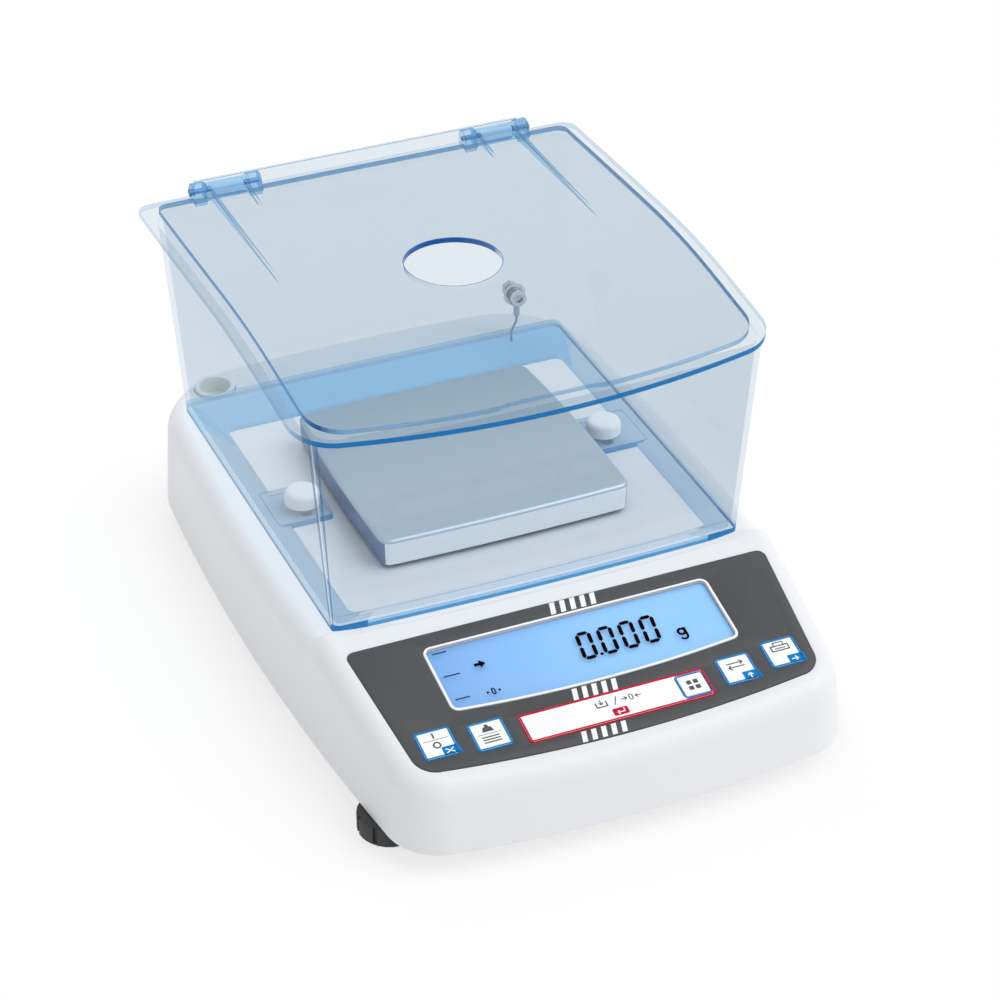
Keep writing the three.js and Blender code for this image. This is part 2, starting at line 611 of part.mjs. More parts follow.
// Base plate inside the shell's lower edge, with standoffs for the main board
const sideAt = (y) => housing.halfWidth - housing.sideRadius
  + Math.sqrt(housing.sideRadius ** 2 - (y - housing.widestBehind) ** 2);
const frontFeetY = foot.frontInset - housing.halfDepth;
const rearFeetY = housing.halfDepth - foot.rearInset;
const frontFeet = { x: sideAt(frontFeetY) - foot.frontSideInset, y: frontFeetY };
const rearFeet = { x: sideAt(rearFeetY) - foot.rearSideInset, y: rearFeetY };
const feetPlaces = [
  { name: 'front_left', x: -frontFeet.x, y: frontFeet.y },
  { name: 'front_right', x: frontFeet.x, y: frontFeet.y },
  { name: 'rear_left', x: -rearFeet.x, y: rearFeet.y },
  { name: 'rear_right', x: rearFeet.x, y: rearFeet.y },
];
const mainBoardHalf = housing.halfWidth - mainBoard.sideInset;
const mainBoardFront = mainBoard.behindFront - housing.halfDepth;
const mainBoardDepth = panY - mainBoard.beforeSpindle - mainBoardFront;
const mainBoardBottom = baseTop + mainBoard.standoff + seatGap;

function baseBody() {
  const plate = prism(barrel(housingForm, housing.wall + base.sideGap), bottomZ, baseTop);
  const standoffX = mainBoardHalf - mainBoard.standoffInset;
  const standoffYs = [mainBoard.standoffInset, mainBoardDepth - mainBoard.standoffInset];
  const standoffs = [-1, 1].flatMap((side) => standoffYs.map((along) => cylinder(
    mainBoard.standoffRadius, side * standoffX, mainBoardFront + along, baseTop - base.thickness / 2,
    baseTop + mainBoard.standoff, faces.small)));
  const holes = [
    ...feetPlaces.map(({ x, y }) => cylinder(foot.insertRadius + seatGap, x, y, bottomZ - overrun,
      baseTop + overrun, faces.small)),
    ...screws.map(({ x, y }) => cylinder(baseScrew.shankRadius + seatGap, x, y, bottomZ - overrun,
      baseTop + overrun, faces.small)),
  ];
  return cut(join(plate, ...standoffs), ...holes);
}

// Draft shield
const shieldForm = {
  halfWidth: shieldHalf, widestY: (shieldFront + shieldRear) / 2, sideRadius: shield.sideRadius,
  frontY: shieldFront, frontRadius: shield.frontRadius, frontCorner: shield.corner,
  rearY: shieldRear, rearRadius: shield.rearRadius, rearCorner: shield.corner,
};
const rimForm = {
  halfWidth: rimHalf, widestY: (rimFront + rimRear) / 2, sideRadius: rim.sideRadius,
  frontY: rimFront, frontRadius: rim.frontRadius, frontCorner: rim.frontCorner,
  rearY: rimRear, rearRadius: rim.rearRadius, rearCorner: rim.rearCorner,
};
const wallSkin = (inset, z0, z1) => skin([z0, z1].map(
  (z) => atHeight(barrel(shieldForm, inset - shield.leanShare * (z - shieldFoot)), z)));

// Place of the ground point: the pieces in front of the rear wall, then the nut behind it
const groundX = shieldHalf - ground.sideInset;
const groundZ = shieldFoot + ground.rise;
const wallArc = shield.rearRadius - Math.sqrt(shield.rearRadius ** 2 - groundX ** 2);
const wallInside = shieldRear - wallArc - shield.wall
  + shield.leanShare * (ground.rise - ground.washerRadius);
const wallOutside = shieldRear - wallArc + shield.leanShare * (ground.rise + ground.nutRadius);
const washerY = wallInside - seatGap - ground.washerThickness;
const lugFrontY = washerY - seatGap - ground.lugThickness;
const barrelY = lugFrontY + ground.lugThickness - ground.barrelRadius;
const headY = lugFrontY - seatGap;
const nutY = wallOutside + seatGap;

// Bores for the hinge pins, through the cheeks and the lid's barrels
const pinBores = () => [-1, 1].map((side) => cylinderAlongX(hinge.pinRadius + seatGap,
  side * hingeX - 2 * hinge.halfLength, side * hingeX + 2 * hinge.halfLength, hingeY, hingeZ));

function shieldBody() {
  const above = crestZ + overrun;
  const hollow = wallSkin(shield.wall, shieldFoot - overrun, above);
  const underRim = crownSheet(-shield.height - overrun, 0);
  const walls = wallSkin(0, shieldFoot, above).intersect(underRim).subtract(hollow);
  const rimPlate = prism(barrel(rimForm), shieldFoot, above)
    .intersect(crownSheet(-rim.thickness, 0)).subtract(hollow);
  // Foot frame with its opening, the two tabs under the knobs and a low band along the front
  const frameTop = shieldFoot + shield.frameThickness;
  const tabTop = shieldFoot + knob.tabThickness;
  const opening = prism(roundedRectangle(-openingHalf, openingHalf, shieldFront + shield.frameFront,
    shieldRear - shield.frameRear, shield.frameCorner), shieldFoot - overrun, frameTop + overrun);
  const frame = prism(barrel(shieldForm, shield.wall / 2), shieldFoot, frameTop).subtract(opening);
  const tabs = [-1, 1].map((side) => {
    const inner = side * (openingHalf - knob.tabReach);
    const outer = side * (openingHalf + shield.frameSide / 2);
    return prism(roundedRectangle(Math.min(inner, outer), Math.max(inner, outer),
      knobY - knob.tabHalfLength, knobY + knob.tabHalfLength, knob.tabCorner), shieldFoot, tabTop);
  });
  const bandTop = frameTop + shield.bandHeight;
  const band = wallSkin(shield.wall / 2, shieldFoot, bandTop)
    .subtract(wallSkin(shield.wall + shield.bandThickness, shieldFoot - overrun, bandTop + overrun))
    .intersect(box(-shieldHalf, shieldHalf, shieldFront - overrun, shieldFront + shield.frameFront / 2,
      shieldFoot, bandTop + overrun));
  // Cheeks of the hinges and the lip between them
  const cheekFoot = rimTop(hingeY) - rim.thickness / 2;
  const cheeks = [-1, 1].flatMap((side) => [
    side * hingeX + hinge.halfLength, side * hingeX - hinge.halfLength - hinge.cheekThickness,
  ].map((x) => join(
    box(x, x + hinge.cheekThickness, hingeY - hinge.cheekRadius, hingeY + hinge.cheekRadius, cheekFoot,
      hingeZ),
    cylinderAlongX(hinge.cheekRadius, x, x + hinge.cheekThickness, hingeY, hingeZ, faces.round))));
  const lipHalf = hingeX + hinge.halfLength + hinge.cheekThickness / 2;
  const lipBody = box(-lipHalf, lipHalf, lipFront, rimRear, rimTop(rimRear) - rim.thickness,
    hingeZ + lip.rise).intersect(prism(barrel(rimForm), shieldFoot, hingeZ + lip.rise + overrun));
  const holes = [
    ...pinBores(),
    ...[-1, 1].map((side) => prism(knobSlot(side), shieldFoot - overrun, tabTop + overrun)),
    cylinderAlongY(ground.screwRadius + seatGap, groundX, washerY, nutY + overrun, groundZ),
    cylinder(ground.wireRadius + seatGap, groundX - ground.wireShift, barrelY,
      shieldFoot - overrun, frameTop + overrun, faces.small),
  ];
  return cut(join(walls, rimPlate, frame, ...tabs, band, ...cheeks, lipBody), ...holes);
}

// Lid with its hole, finger recess, ribs and hinge barrels
function lidBody() {
  const below = seatGap;
  const above = seatGap + lid.thickness;
  const crown = crownSheet(below, above);
  const high = hingeZ + hinge.cheekRadius + overrun;
  const low = shieldFoot;
  const sheet = prism(barrel(lidForm), low, high).intersect(crown);
  const holeY = lidForm.rearY - lid.holeFromRear;
  const recessRight = [
    [lid.recessHalfWidth, lidForm.frontY - lid.recessRun],
    [lid.recessHalfWidth, lidForm.frontY + lid.recessHalfWidth ** 2 / (2 * lid.frontRadius)],
    [lid.recessHalfWidth - lid.recessRun, lidForm.frontY + lid.recessDepth],
  ];
  const recessLeft = recessRight.slice().reverse().map(([x, y]) => [-x, y]);
  const recess = prism([...recessRight, ...recessLeft], low, high);
  const notches = [-1, 1].flatMap((side) => [
    side * hingeX + hinge.halfLength, side * hingeX - hinge.halfLength - hinge.cheekThickness,
  ].map((x) => box(x - seatGap, x + hinge.cheekThickness + seatGap,
    hingeY - hinge.cheekRadius - seatGap, lidForm.rearY + overrun, low, high)));
  const plate = cut(sheet, cylinder(lid.holeRadius, 0, holeY, low, high, faces.round), recess, ...notches);
  // A rib runs from a barrel down to the plate; its foot follows the plate
  const rib = (x, endY) => {
    const footLine = Array.from({ length: faces.rib + 1 }, (_, i) => {
      const y = endY + ((hingeY - endY) * i) / faces.rib;
      return [y, rimTop(y) + seatGap + lid.thickness / 2];
    });
    const profile = [...footLine, [hingeY, hingeZ + hinge.ribRise], [endY, rimTop(endY) + above]];
    return prismAcrossX(profile, x - hinge.ribThickness / 2, x + hinge.ribThickness / 2);
  };
  const ribX = hinge.halfLength - seatGap - hinge.ribThickness / 2;
  const extras = [-1, 1].flatMap((side) => [
    cylinderAlongX(hinge.barrelRadius, side * hingeX - hinge.halfLength + seatGap,
      side * hingeX + hinge.halfLength - seatGap, hingeY, hingeZ, faces.round),
    rib(side * (hingeX + ribX), holeY + hinge.longRibFromHole),
    rib(side * (hingeX - ribX), hingeY - hinge.shortRibLength),
  ]);
  return cut(join(plate, ...extras), ...pinBores());
}

// A hinge pin about its own middle, with its head towards +X
function pinBody() {
  const reach = hinge.halfLength + hinge.cheekThickness;
  return join(
    cylinderAlongX(hinge.pinRadius, -reach, reach + seatGap + hinge.pinHeadThickness / 2, 0, 0),
    cylinderAlongX(hinge.pinHeadRadius, reach + seatGap, reach + seatGap + hinge.pinHeadThickness, 0, 0));
}

// A locking knob, its head standing on the tab at height 0
function knobBody() {
  const wingTop = -(knob.tabThickness + seatGap + housing.wall + 2 * seatGap);
  const round = Array.from({ length: faces.fillet + 1 }, (_, i) => {
    const angle = (Math.PI / 2) * (i / faces.fillet);
    return [knob.radius - knob.crown * (1 - Math.cos(angle)), knob.height - knob.crown * (1 - Math.sin(angle))];
  });
  const head = turned([[0, 0], [knob.radius, 0], ...round, [0, knob.height]]);
  const shank = cylinder(knob.shankRadius, 0, 0, wingTop - knob.wingThickness / 2, knob.crown, faces.small);
  const wing = box(-knob.wingHalfLength, knob.wingHalfLength, -knob.wingHalfWidth, knob.wingHalfWidth,
    wingTop - knob.wingThickness, wingTop);
  return join(head, shank, wing);
}

// Weighing pan: a tray with a turned-down skirt
const panForm = {
  halfWidth: panHalfWidth, widestY: -pan.widestInFront, sideRadius: pan.sideRadius,
  frontY: -panHalfDepth, frontRadius: pan.frontRadius, frontCorner: pan.corner,
  rearY: panHalfDepth, rearRadius: pan.rearRadius, rearCorner: pan.corner,
};
function panSkin(wall, footZ) {
  const edge = pan.edge;
  const ring = (inset, z) => atHeight(barrel(panForm, inset + wall), z - wall);
  return skin([
    atHeight(barrel(panForm, pan.skirtInset + wall), footZ), ring(0, -edge),
    ring(edge * (1 - Math.SQRT1_2), -edge * (1 - Math.SQRT1_2)), ring(edge, 0),
  ]);
}
const panBody = () => panSkin(0, -pan.skirt).subtract(panSkin(pan.wall, -pan.skirt - overrun));

// Carrier: two arms on a spine, with a hub for the spindle
function carrierBody() {
  const { armHalfWidth, thickness } = carrier;
  const tip = carrier.bufferRadius;
  const arms = [-1, 1].map((side) => box(-reachX - tip, reachX + tip, side * reachY - armHalfWidth,
    side * reachY + armHalfWidth, 0, thickness));
  const spine = box(-armHalfWidth, armHalfWidth, -reachY, reachY, 0, thickness);
  const hub = cylinder(carrier.hubRadius, 0, 0, 0, thickness);
  const socketHole = cylinder(spindle.studRadius + seatGap, 0, 0, -overrun,
    spindle.studLength + seatGap, faces.small);
  return cut(join(spine, hub, ...arms), socketHole);
}

function spindleBody() {
  const height = carrierBottom - seatGap - (cellTop + seatGap);
  return join(
    cylinder(spindle.footRadius, 0, 0, 0, spindle.footHeight),
    cylinder(spindle.radius, 0, 0, spindle.footHeight / 2, height, faces.small),
    cylinder(spindle.studRadius, 0, 0, height / 2, height + seatGap + spindle.studLength, faces.small));
}

function cellBody() {
  const middle = cell.height / 2;
  const block = box(-cell.halfWidth, cell.halfWidth, 0, cell.length, 0, cell.height);
  const reach = cell.halfWidth + overrun;
  return cut(block,
    cylinderAlongX(cell.boreRadius, -reach, reach, cell.frontBore, middle),
    cylinderAlongX(cell.boreRadius, -reach, reach, cell.rearBore, middle),
    box(-reach, reach, cell.frontBore, cell.rearBore, middle - cell.slotHalfHeight,
      middle + cell.slotHalfHeight));
}

const receiverBottom = cellBottom + receiver.lift;
const receiverBody = () => box(-receiver.halfWidth, receiver.halfWidth, -receiver.halfDepth,
  receiver.halfDepth, receiverBottom, cellTop);

const mainBoardBody = () => box(-mainBoardHalf, mainBoardHalf, 0, mainBoardDepth, 0,
  mainBoard.thickness);

function socketBody() {
  const front = -socket.depth;
  const nose = rearFace(socketX, socket.rise) - socketY;
  return cut(join(
    box(-socket.width / 2, socket.width / 2, front, 0, -socket.height / 2, socket.height / 2),
    cylinderAlongY(socket.noseRadius, 0, front / 2, nose, 0)),
  cylinderAlongY(socket.boreRadius, 0, nose - socket.boreDepth, nose + overrun, 0));
}

function portBody() {
  const nose = rearFace(port.x, port.rise) - behindWall(port);
  const half = port.plugWidth / 2;
  const high = port.plugHeight / 2;
  const inner = port.plugWall;
  return cut(join(
    box(-port.width / 2, port.width / 2, -port.depth, 0, -port.height / 2, port.height / 2),
    box(-half, half, -port.depth / 2, nose, -high, high),
    ...[-1, 1].map((side) => cylinderAlongY(port.postRadius, side * port.postX, -port.depth / 2, nose, 0))),
  box(-half + inner, half - inner, nose - port.plugDepth, nose + overrun, -high + inner, high - inner));
}

// A levelling foot, from the table up
function footBody() {
  const slotAngle = foot.slotWidth / foot.wheelRadius;
  const toothAngle = (2 * Math.PI) / foot.teeth - slotAngle;
  const outline = [];
  for (let i = 0; i < foot.teeth; i++) {
    const from = (2 * Math.PI * i) / foot.teeth;
    const at = (angle, radius) => outline.push([radius * Math.cos(angle), radius * Math.sin(angle)]);
    for (let j = 0; j <= faces.tooth; j++) at(from + (toothAngle * j) / faces.tooth, foot.wheelRadius);
    at(from + toothAngle, foot.wheelRadius - foot.slotDepth);
    at(from + toothAngle + slotAngle, foot.wheelRadius - foot.slotDepth);
  }
  return join(
    prism(outline, foot.padHeight, foot.height),
    cylinder(foot.padRadius, 0, 0, 0, 2 * foot.padHeight),
    cylinder(foot.studRadius, 0, 0, foot.height / 2, foot.height + foot.studLength, faces.small));
}

const insertBody = () => cut(
  cylinder(foot.insertRadius, 0, 0, 0, foot.insertHeight, faces.small),
  cylinder(foot.studRadius + seatGap, 0, 0, -overrun, foot.insertHeight + overrun, faces.small));

const baseScrewBody = () => join(
  cylinder(baseScrew.headRadius, 0, 0, -baseScrew.headHeight, 0, faces.small),
  cylinder(baseScrew.shankRadius, 0, 0, -baseScrew.headHeight / 2, baseScrew.length, faces.small));

// Pieces of the ground point, about the screw's axis
const groundScrewBody = () => cut(
  join(
    cylinderAlongY(ground.headRadius, 0, headY - ground.headHeight, headY, 0, faces.round),
    cylinderAlongY(ground.screwRadius, 0, headY - ground.headHeight / 2,
      nutY + ground.nutThickness + ground.screwTail, 0)),
  cylinderAlongY(ground.socketRadius, 0, headY - ground.headHeight - overrun,
    headY - ground.headHeight + ground.socketDepth, 0, faces.hexagon));
const washerBody = (radius, y, thickness, sides) => cut(
  cylinderAlongY(radius, 0, y, y + thickness, 0, sides),
  cylinderAlongY(ground.screwRadius + seatGap, 0, y - overrun, y + thickness + overrun, 0));
const barrelTop = -(ground.screwRadius + ground.lugRadius) / 2;
const barrelEnd = -(ground.lugRadius + ground.barrelLength);
const lugBody = () => cut(
  join(
    cylinderAlongY(ground.lugRadius, 0, lugFrontY, lugFrontY + ground.lugThickness, 0, faces.round),
    box(-ground.barrelRadius, ground.barrelRadius, lugFrontY, lugFrontY + ground.lugThickness,
      -ground.lugRadius - ground.barrelRadius, barrelTop),
    cylinder(ground.barrelRadius, 0, barrelY, barrelEnd, -ground.lugRadius, faces.small)),
  cylinderAlongY(ground.screwRadius + seatGap, 0, lugFrontY - overrun, washerY, 0));

// The wire leaves the lug's barrel, leans over to its hole and goes down into the housing
function wireBody() {
  const start = groundZ + barrelEnd - seatGap;
  const end = topZ - housing.wall - ground.wireTail;
  const holeTop = shieldFoot + shield.frameThickness;
  const x0 = groundX;
  const x1 = groundX - ground.wireShift;
  const drop = (start - holeTop) * ground.wireBendShare;
  const path = new THREE.CatmullRomCurve3([
    new THREE.Vector3(x0, barrelY, start), new THREE.Vector3(x0, barrelY, start - drop),
    new THREE.Vector3(x1, barrelY, holeTop + drop), new THREE.Vector3(x1, barrelY, holeTop),
    new THREE.Vector3(x1, barrelY, end),
  ], false, 'centripetal');
  const ring = Array.from({ length: ground.wireSides }, (_, i) => {
    const angle = (2 * Math.PI * i) / ground.wireSides;
    return new THREE.Vector2(ground.wireRadius * Math.cos(angle), ground.wireRadius * Math.sin(angle));
  });
  const shape = new THREE.Shape(ring);
  return solid(new THREE.ExtrudeGeometry(shape, {
    steps: faces.wire, bevelEnabled: false, extrudePath: path,
  }));
}

// Spirit level: a cup, a clear vial cap and the bubble under it, about the level's axis
const levelPocket = -level.depth + level.floor;
const levelCaseBody = () => cut(
  cylinder(level.radius, 0, 0, -level.depth, level.rise),
  cylinder(level.pocketRadius, 0, 0, levelPocket, level.rise + overrun));
const vialRoof = level.rise - seatGap - level.vialWall;
const vialBody = () => cut(
  cylinder(level.pocketRadius - seatGap, 0, 0, levelPocket + seatGap, level.rise - seatGap),
  cylinder(level.pocketRadius - seatGap - level.vialWall, 0, 0, levelPocket - overrun, vialRoof));
const bubbleBody = () => cylinder(level.bubbleRadius, 0, 0,
  vialRoof - seatGap - level.bubbleThickness, vialRoof - seatGap, faces.small);

// The whole balance
const balance = new THREE.Group();
function add(parent, name, body, material, x = 0, y = 0, z = 0) {
  const mesh = new THREE.Mesh(geometryOf(body), materials[material]);
  mesh.name = name;
  mesh.position.set(x, y, z);
  parent.add(mesh);
  return mesh;
}

add(balance, 'housing_top', housingTopBody(), 'whitePlastic');
add(balance, 'housing_base', baseBody(), 'whitePlastic');

balance.add(deckGroup);
const overlayHoles = [...squareKeys, tareKey].map((place) => prism(keyOutline(place, seatGap),
  recessFloor - overrun, key.proud + overrun));
const overlayBody = cut(prism(panelOutline(overlayForm), overlayBottom, overlay.proud),
  prism(panelOutline(screenForm, seatGap), recessFloor - overrun, key.proud + overrun), ...overlayHoles);
add(deckGroup, 'control_panel', overlayBody, 'panelGrey');
add(deckGroup, 'display_window', prism(panelOutline(screenForm), overlayBottom, overlay.proud),
  'windowClear');
add(deckGroup, 'display_glass', prism(panelOutline(screenForm, -screen.ledge - seatGap), glassBottom,
  glassTop), 'screenBlue');
add(deckGroup, 'display_backlight', prism(panelOutline(screenForm, screen.backlightMargin),
  boardTop + seatGap, glassBottom - seatGap), 'whitePlastic');
const switches = [...squareKeys, tareKey, modeKey].map(({ x, down }) => cylinder(key.stemRadius, x, -down,
  boardTop - board.thickness / 2, boardTop + board.switchHeight, faces.small));
const boardOutline = roundedRectangle(-boardHalf, boardHalf, -board.bottomDown, -board.topDown,
  board.corner);
add(deckGroup, 'key_board', join(prism(boardOutline, boardBottom, boardTop), ...switches), 'boardGreen');
for (const place of squareKeys) {
  add(deckGroup, place.name, keyBody(place, key.flange, flangeTop, flangeBottom), 'keyWhite');
}
const modeHole = prism(keyOutline(modeKey, seatGap), flangeBottom - overrun, key.proud + overrun);
const tareBody = keyBody(tareKey, key.flange, flangeTop, flangeBottom).subtract(modeHole);
add(deckGroup, 'key_tare', tareBody, 'keyWhite');
const modeFlangeTop = flangeBottom - key.travel - seatGap;
add(deckGroup, 'key_mode', keyBody(modeKey, mode.flange + seatGap, modeFlangeTop,
  modeFlangeTop - mode.flangeThickness), 'keyWhite');

add(balance, 'draft_shield', shieldBody(), 'shieldBlue');
add(balance, 'shield_lid', lidBody(), 'shieldBlue');
add(balance, 'hinge_pin_left', pinBody(), 'steel', -hingeX, hingeY, hingeZ).rotation.z = Math.PI;
add(balance, 'hinge_pin_right', pinBody(), 'steel', hingeX, hingeY, hingeZ);
const knobZ = shieldFoot + knob.tabThickness + seatGap;
add(balance, 'lock_knob_left', knobBody(), 'whitePlastic', -knobX, knobY, knobZ);
add(balance, 'lock_knob_right', knobBody(), 'whitePlastic', knobX, knobY, knobZ);

add(balance, 'weighing_pan', panBody(), 'steel', 0, panY, panTop);
add(balance, 'pan_carrier', carrierBody(), 'aluminium', 0, panY, carrierBottom);
for (const { name, x, y } of [
  { name: 'front_left', x: -1, y: -1 }, { name: 'front_right', x: 1, y: -1 },
  { name: 'rear_left', x: -1, y: 1 }, { name: 'rear_right', x: 1, y: 1 },
]) {
  add(balance, `buffer_${name}`, cylinder(carrier.bufferRadius, 0, 0, 0, carrier.bufferHeight, faces.small),
    'rubber', x * reachX, panY + y * reachY, carrierTop + seatGap);
}
add(balance, 'spindle', spindleBody(), 'steel', 0, panY, cellTop + seatGap);
add(balance, 'load_receiver', receiverBody(), 'aluminium', 0, panY);
add(balance, 'cell_block', cellBody(), 'aluminium', 0, cellFront, cellBottom);
add(balance, 'cell_mount', box(-cell.halfWidth, cell.halfWidth, cell.length - cell.mountLength, cell.length,
  baseTop + seatGap, cellBottom - seatGap), 'aluminium', 0, cellFront);
add(balance, 'overload_stop', cylinder(receiver.stopRadius, 0, 0, baseTop + seatGap,
  receiverBottom - receiver.stopGap, faces.small), 'brass', 0, panY);
add(balance, 'main_board', mainBoardBody(), 'boardGreen', 0, mainBoardFront, mainBoardBottom);
add(balance, 'power_socket', socketBody(), 'blackPlastic', socketX, socketY,
  bottomZ + socket.rise);
add(balance, 'data_port', portBody(), 'steel', port.x, behindWall(port), bottomZ + port.rise);

for (const { name, x, y } of feetPlaces) {
  add(balance, `foot_${name}`, footBody(), 'footGrey', x, y);
  add(balance, `insert_${name}`, insertBody(), 'brass', x, y, bottomZ);
}
screws.forEach(({ x, y }, i) => {
  add(balance, `base_screw_${i + 1}`, baseScrewBody(), 'steel', x, y, bottomZ - seatGap);
});

add(balance, 'ground_screw', groundScrewBody(), 'steel', groundX, 0, groundZ);
add(balance, 'ground_washer', washerBody(ground.washerRadius, washerY, ground.washerThickness,
  faces.round), 'steel', groundX, 0, groundZ);
add(balance, 'ground_lug', lugBody(), 'wire', groundX, 0, groundZ);
add(balance, 'ground_nut', washerBody(ground.nutRadius, nutY, ground.nutThickness, faces.hexagon),
  'steel', groundX, 0, groundZ);
add(balance, 'ground_wire', wireBody(), 'wire');

add(balance, 'level_case', levelCaseBody(), 'whitePlastic', levelX, levelY, topZ);
add(balance, 'level_vial', vialBody(), 'levelGreen', levelX, levelY, topZ);
add(balance, 'level_bubble', bubbleBody(), 'windowClear', levelX, levelY, topZ);

export default balance;
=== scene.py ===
# A precision balance with a clear blue draft shield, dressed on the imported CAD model.
# Lengths are written in millimetres and turned to metres where a mesh is made.

import math

import bmesh
import bpy
from mathutils import Matrix, Vector
from mathutils.kdtree import KDTree


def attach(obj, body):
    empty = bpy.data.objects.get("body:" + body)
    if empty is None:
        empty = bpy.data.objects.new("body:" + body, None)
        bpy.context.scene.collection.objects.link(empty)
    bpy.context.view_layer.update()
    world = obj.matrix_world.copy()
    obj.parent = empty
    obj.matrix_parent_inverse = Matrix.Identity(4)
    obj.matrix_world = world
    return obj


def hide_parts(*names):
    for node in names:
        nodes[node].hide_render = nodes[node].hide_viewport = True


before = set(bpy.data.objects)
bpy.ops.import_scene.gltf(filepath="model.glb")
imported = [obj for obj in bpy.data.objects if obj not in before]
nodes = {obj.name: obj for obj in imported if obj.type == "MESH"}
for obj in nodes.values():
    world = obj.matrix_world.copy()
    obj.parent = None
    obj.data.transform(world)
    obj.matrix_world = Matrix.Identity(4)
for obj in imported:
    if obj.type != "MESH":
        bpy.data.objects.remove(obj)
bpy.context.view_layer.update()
scene = bpy.context.scene

# The table and the light
# The balance stands on a white laminate table in even daylight from all round, a little stronger from
# the front right and above, with a soft light behind it. Gloss, glass and the camera see a plain white
# room.
MM = 0.001


def linear(colour):
    """A six-digit sRGB hex value as the linear colour that the shaders take"""
    parts = [int(colour[i:i + 2], 16) / 255 for i in (1, 3, 5)]
    return [*(c / 12.92 if c <= 0.04045 else ((c + 0.055) / 1.055) ** 2.4 for c in parts), 1]


def add(tree, kind, inputs=None, **settings):
    """A shader node with its settings, and its inputs as values or as other nodes' outputs"""
    made = tree.nodes.new(kind)
    for name, value in settings.items():
        setattr(made, name, value)
    for socket, value in (inputs or {}).items():
        if isinstance(value, bpy.types.NodeSocket):
            tree.links.new(value, made.inputs[socket])
        else:
            made.inputs[socket].default_value = value
    return made


def new_material(name):
    """An empty material and its node tree"""
    material = bpy.data.materials.new(name)
    material.use_nodes = True
    material.node_tree.nodes.clear()
    return material, material.node_tree


def seen_directly(tree):
    """1 for rays that see the room itself: from the camera, off gloss and through glass"""
    path = add(tree, "ShaderNodeLightPath")
    either = add(tree, "ShaderNodeMath", {0: path.outputs["Is Camera Ray"], 1: path.outputs["Is Glossy Ray"]},
                 operation="MAXIMUM")
    return add(tree, "ShaderNodeMath", {0: either.outputs[0], 1: path.outputs["Is Transmission Ray"]},
               operation="MAXIMUM").outputs[0]


world = bpy.data.worlds.new("daylight_room")
scene.world = world
world.use_nodes = True
world.node_tree.nodes.clear()
room = world.node_tree
shown = add(room, "ShaderNodeBackground", {"Color": linear("#ffffff"), "Strength": 1.0})
lighting = add(room, "ShaderNodeBackground", {"Color": linear("#ffffff"), "Strength": 0.68})
either = add(room, "ShaderNodeMixShader", {
    0: seen_directly(room), 1: lighting.outputs[0], 2: shown.outputs[0]})
add(room, "ShaderNodeOutputWorld", {"Surface": either.outputs[0]})

bpy.ops.object.select_all(action="DESELECT")
bpy.ops.object.light_add(type="SUN")
daylight = bpy.context.object
daylight.name = "window_light"
daylight.data.energy = 1.35
daylight.data.angle = math.radians(50)
daylight.rotation_euler = Vector((0.56, -0.30, 0.78)).to_track_quat("Z", "Y").to_euler()
bpy.ops.object.select_all(action="DESELECT")
bpy.ops.object.light_add(type="AREA", location=(0, 0.52, 0.56))
behind = bpy.context.object
behind.name = "rear_window_light"
behind.data.energy = 0.8
behind.data.size = 0.4
behind.rotation_euler = Vector((0, 0.38, 0.50)).to_track_quat("Z", "Y").to_euler()
behind.visible_camera = behind.visible_glossy = behind.visible_transmission = False

# White laminate: nearly white, with a faint sheen; seen directly it is brought close to plain white
laminate, tree = new_material("white_laminate")
surface = add(tree, "ShaderNodeBsdfPrincipled", {"Base Color": linear("#fbfbfb"), "Roughness": 0.6,
                                                 "Specular IOR Level": 0.0})
white = add(tree, "ShaderNodeEmission", {"Color": linear("#ffffff"), "Strength": 1.0})
share = add(tree, "ShaderNodeMath", {0: seen_directly(tree), 1: 0.72}, operation="MULTIPLY")
shade = add(tree, "ShaderNodeMixShader", {0: share.outputs[0], 1: surface.outputs[0], 2: white.outputs[0]})
add(tree, "ShaderNodeOutputMaterial", {"Surface": shade.outputs[0]})

bpy.ops.object.select_all(action="DESELECT")
bpy.ops.mesh.primitive_plane_add(size=8)
table = bpy.context.object
table.name = "table_top"
table.data.materials.append(laminate)

# The camera of the photograph: from the front left, looking down by a third of a right angle
bpy.ops.object.camera_add(location=(-0.457574, -1.076252, 0.842876),
                          rotation=(math.radians(90 - 33.7912), 0, math.radians(-23.3645)))
camera = bpy.context.object
camera.data.lens = 116.02
camera.data.sensor_width = 36
scene.camera = camera
scene.view_settings.view_transform = "Standard"
# The shield puts many clear faces one behind another
scene.cycles.transparent_max_bounces = 40

# Levelling feet
# Four dark grey nylon hand wheels with broad teeth, each moulded round a threaded stud that turns in a
# brass insert pressed into the base.


def deselect():
    """Nothing selected, in object mode"""
    if bpy.context.mode != "OBJECT":
        bpy.ops.object.mode_set(mode="OBJECT")
    bpy.ops.object.select_all(action="DESELECT")


def work_on(piece):
    """This piece alone selected and active"""
    deselect()
    piece.select_set(True)
    bpy.context.view_layer.objects.active = piece


def modified(piece, kind, **settings):
    """The piece with one modifier added and applied"""
    work_on(piece)
    modifier = piece.modifiers.new(kind.lower(), kind)
    for name, value in settings.items():
        setattr(modifier, name, value)
    bpy.ops.object.modifier_apply(modifier=modifier.name)
    return piece


def smoothed(piece, angle=32):
    """Round faces shaded as round, and edges sharper than the angle as edges"""
    work_on(piece)
    bpy.ops.object.shade_smooth_by_angle(angle=math.radians(angle))
    return piece


def softened(piece, radius, steps=2, angle=32):
    """The piece with its edges rounded to a radius in millimetres"""
    modified(piece, "BEVEL", width=radius * MM, segments=steps, limit_method="ANGLE",
             angle_limit=math.radians(angle), miter_outer="MITER_ARC", use_clamp_overlap=True)
    return smoothed(piece, angle)


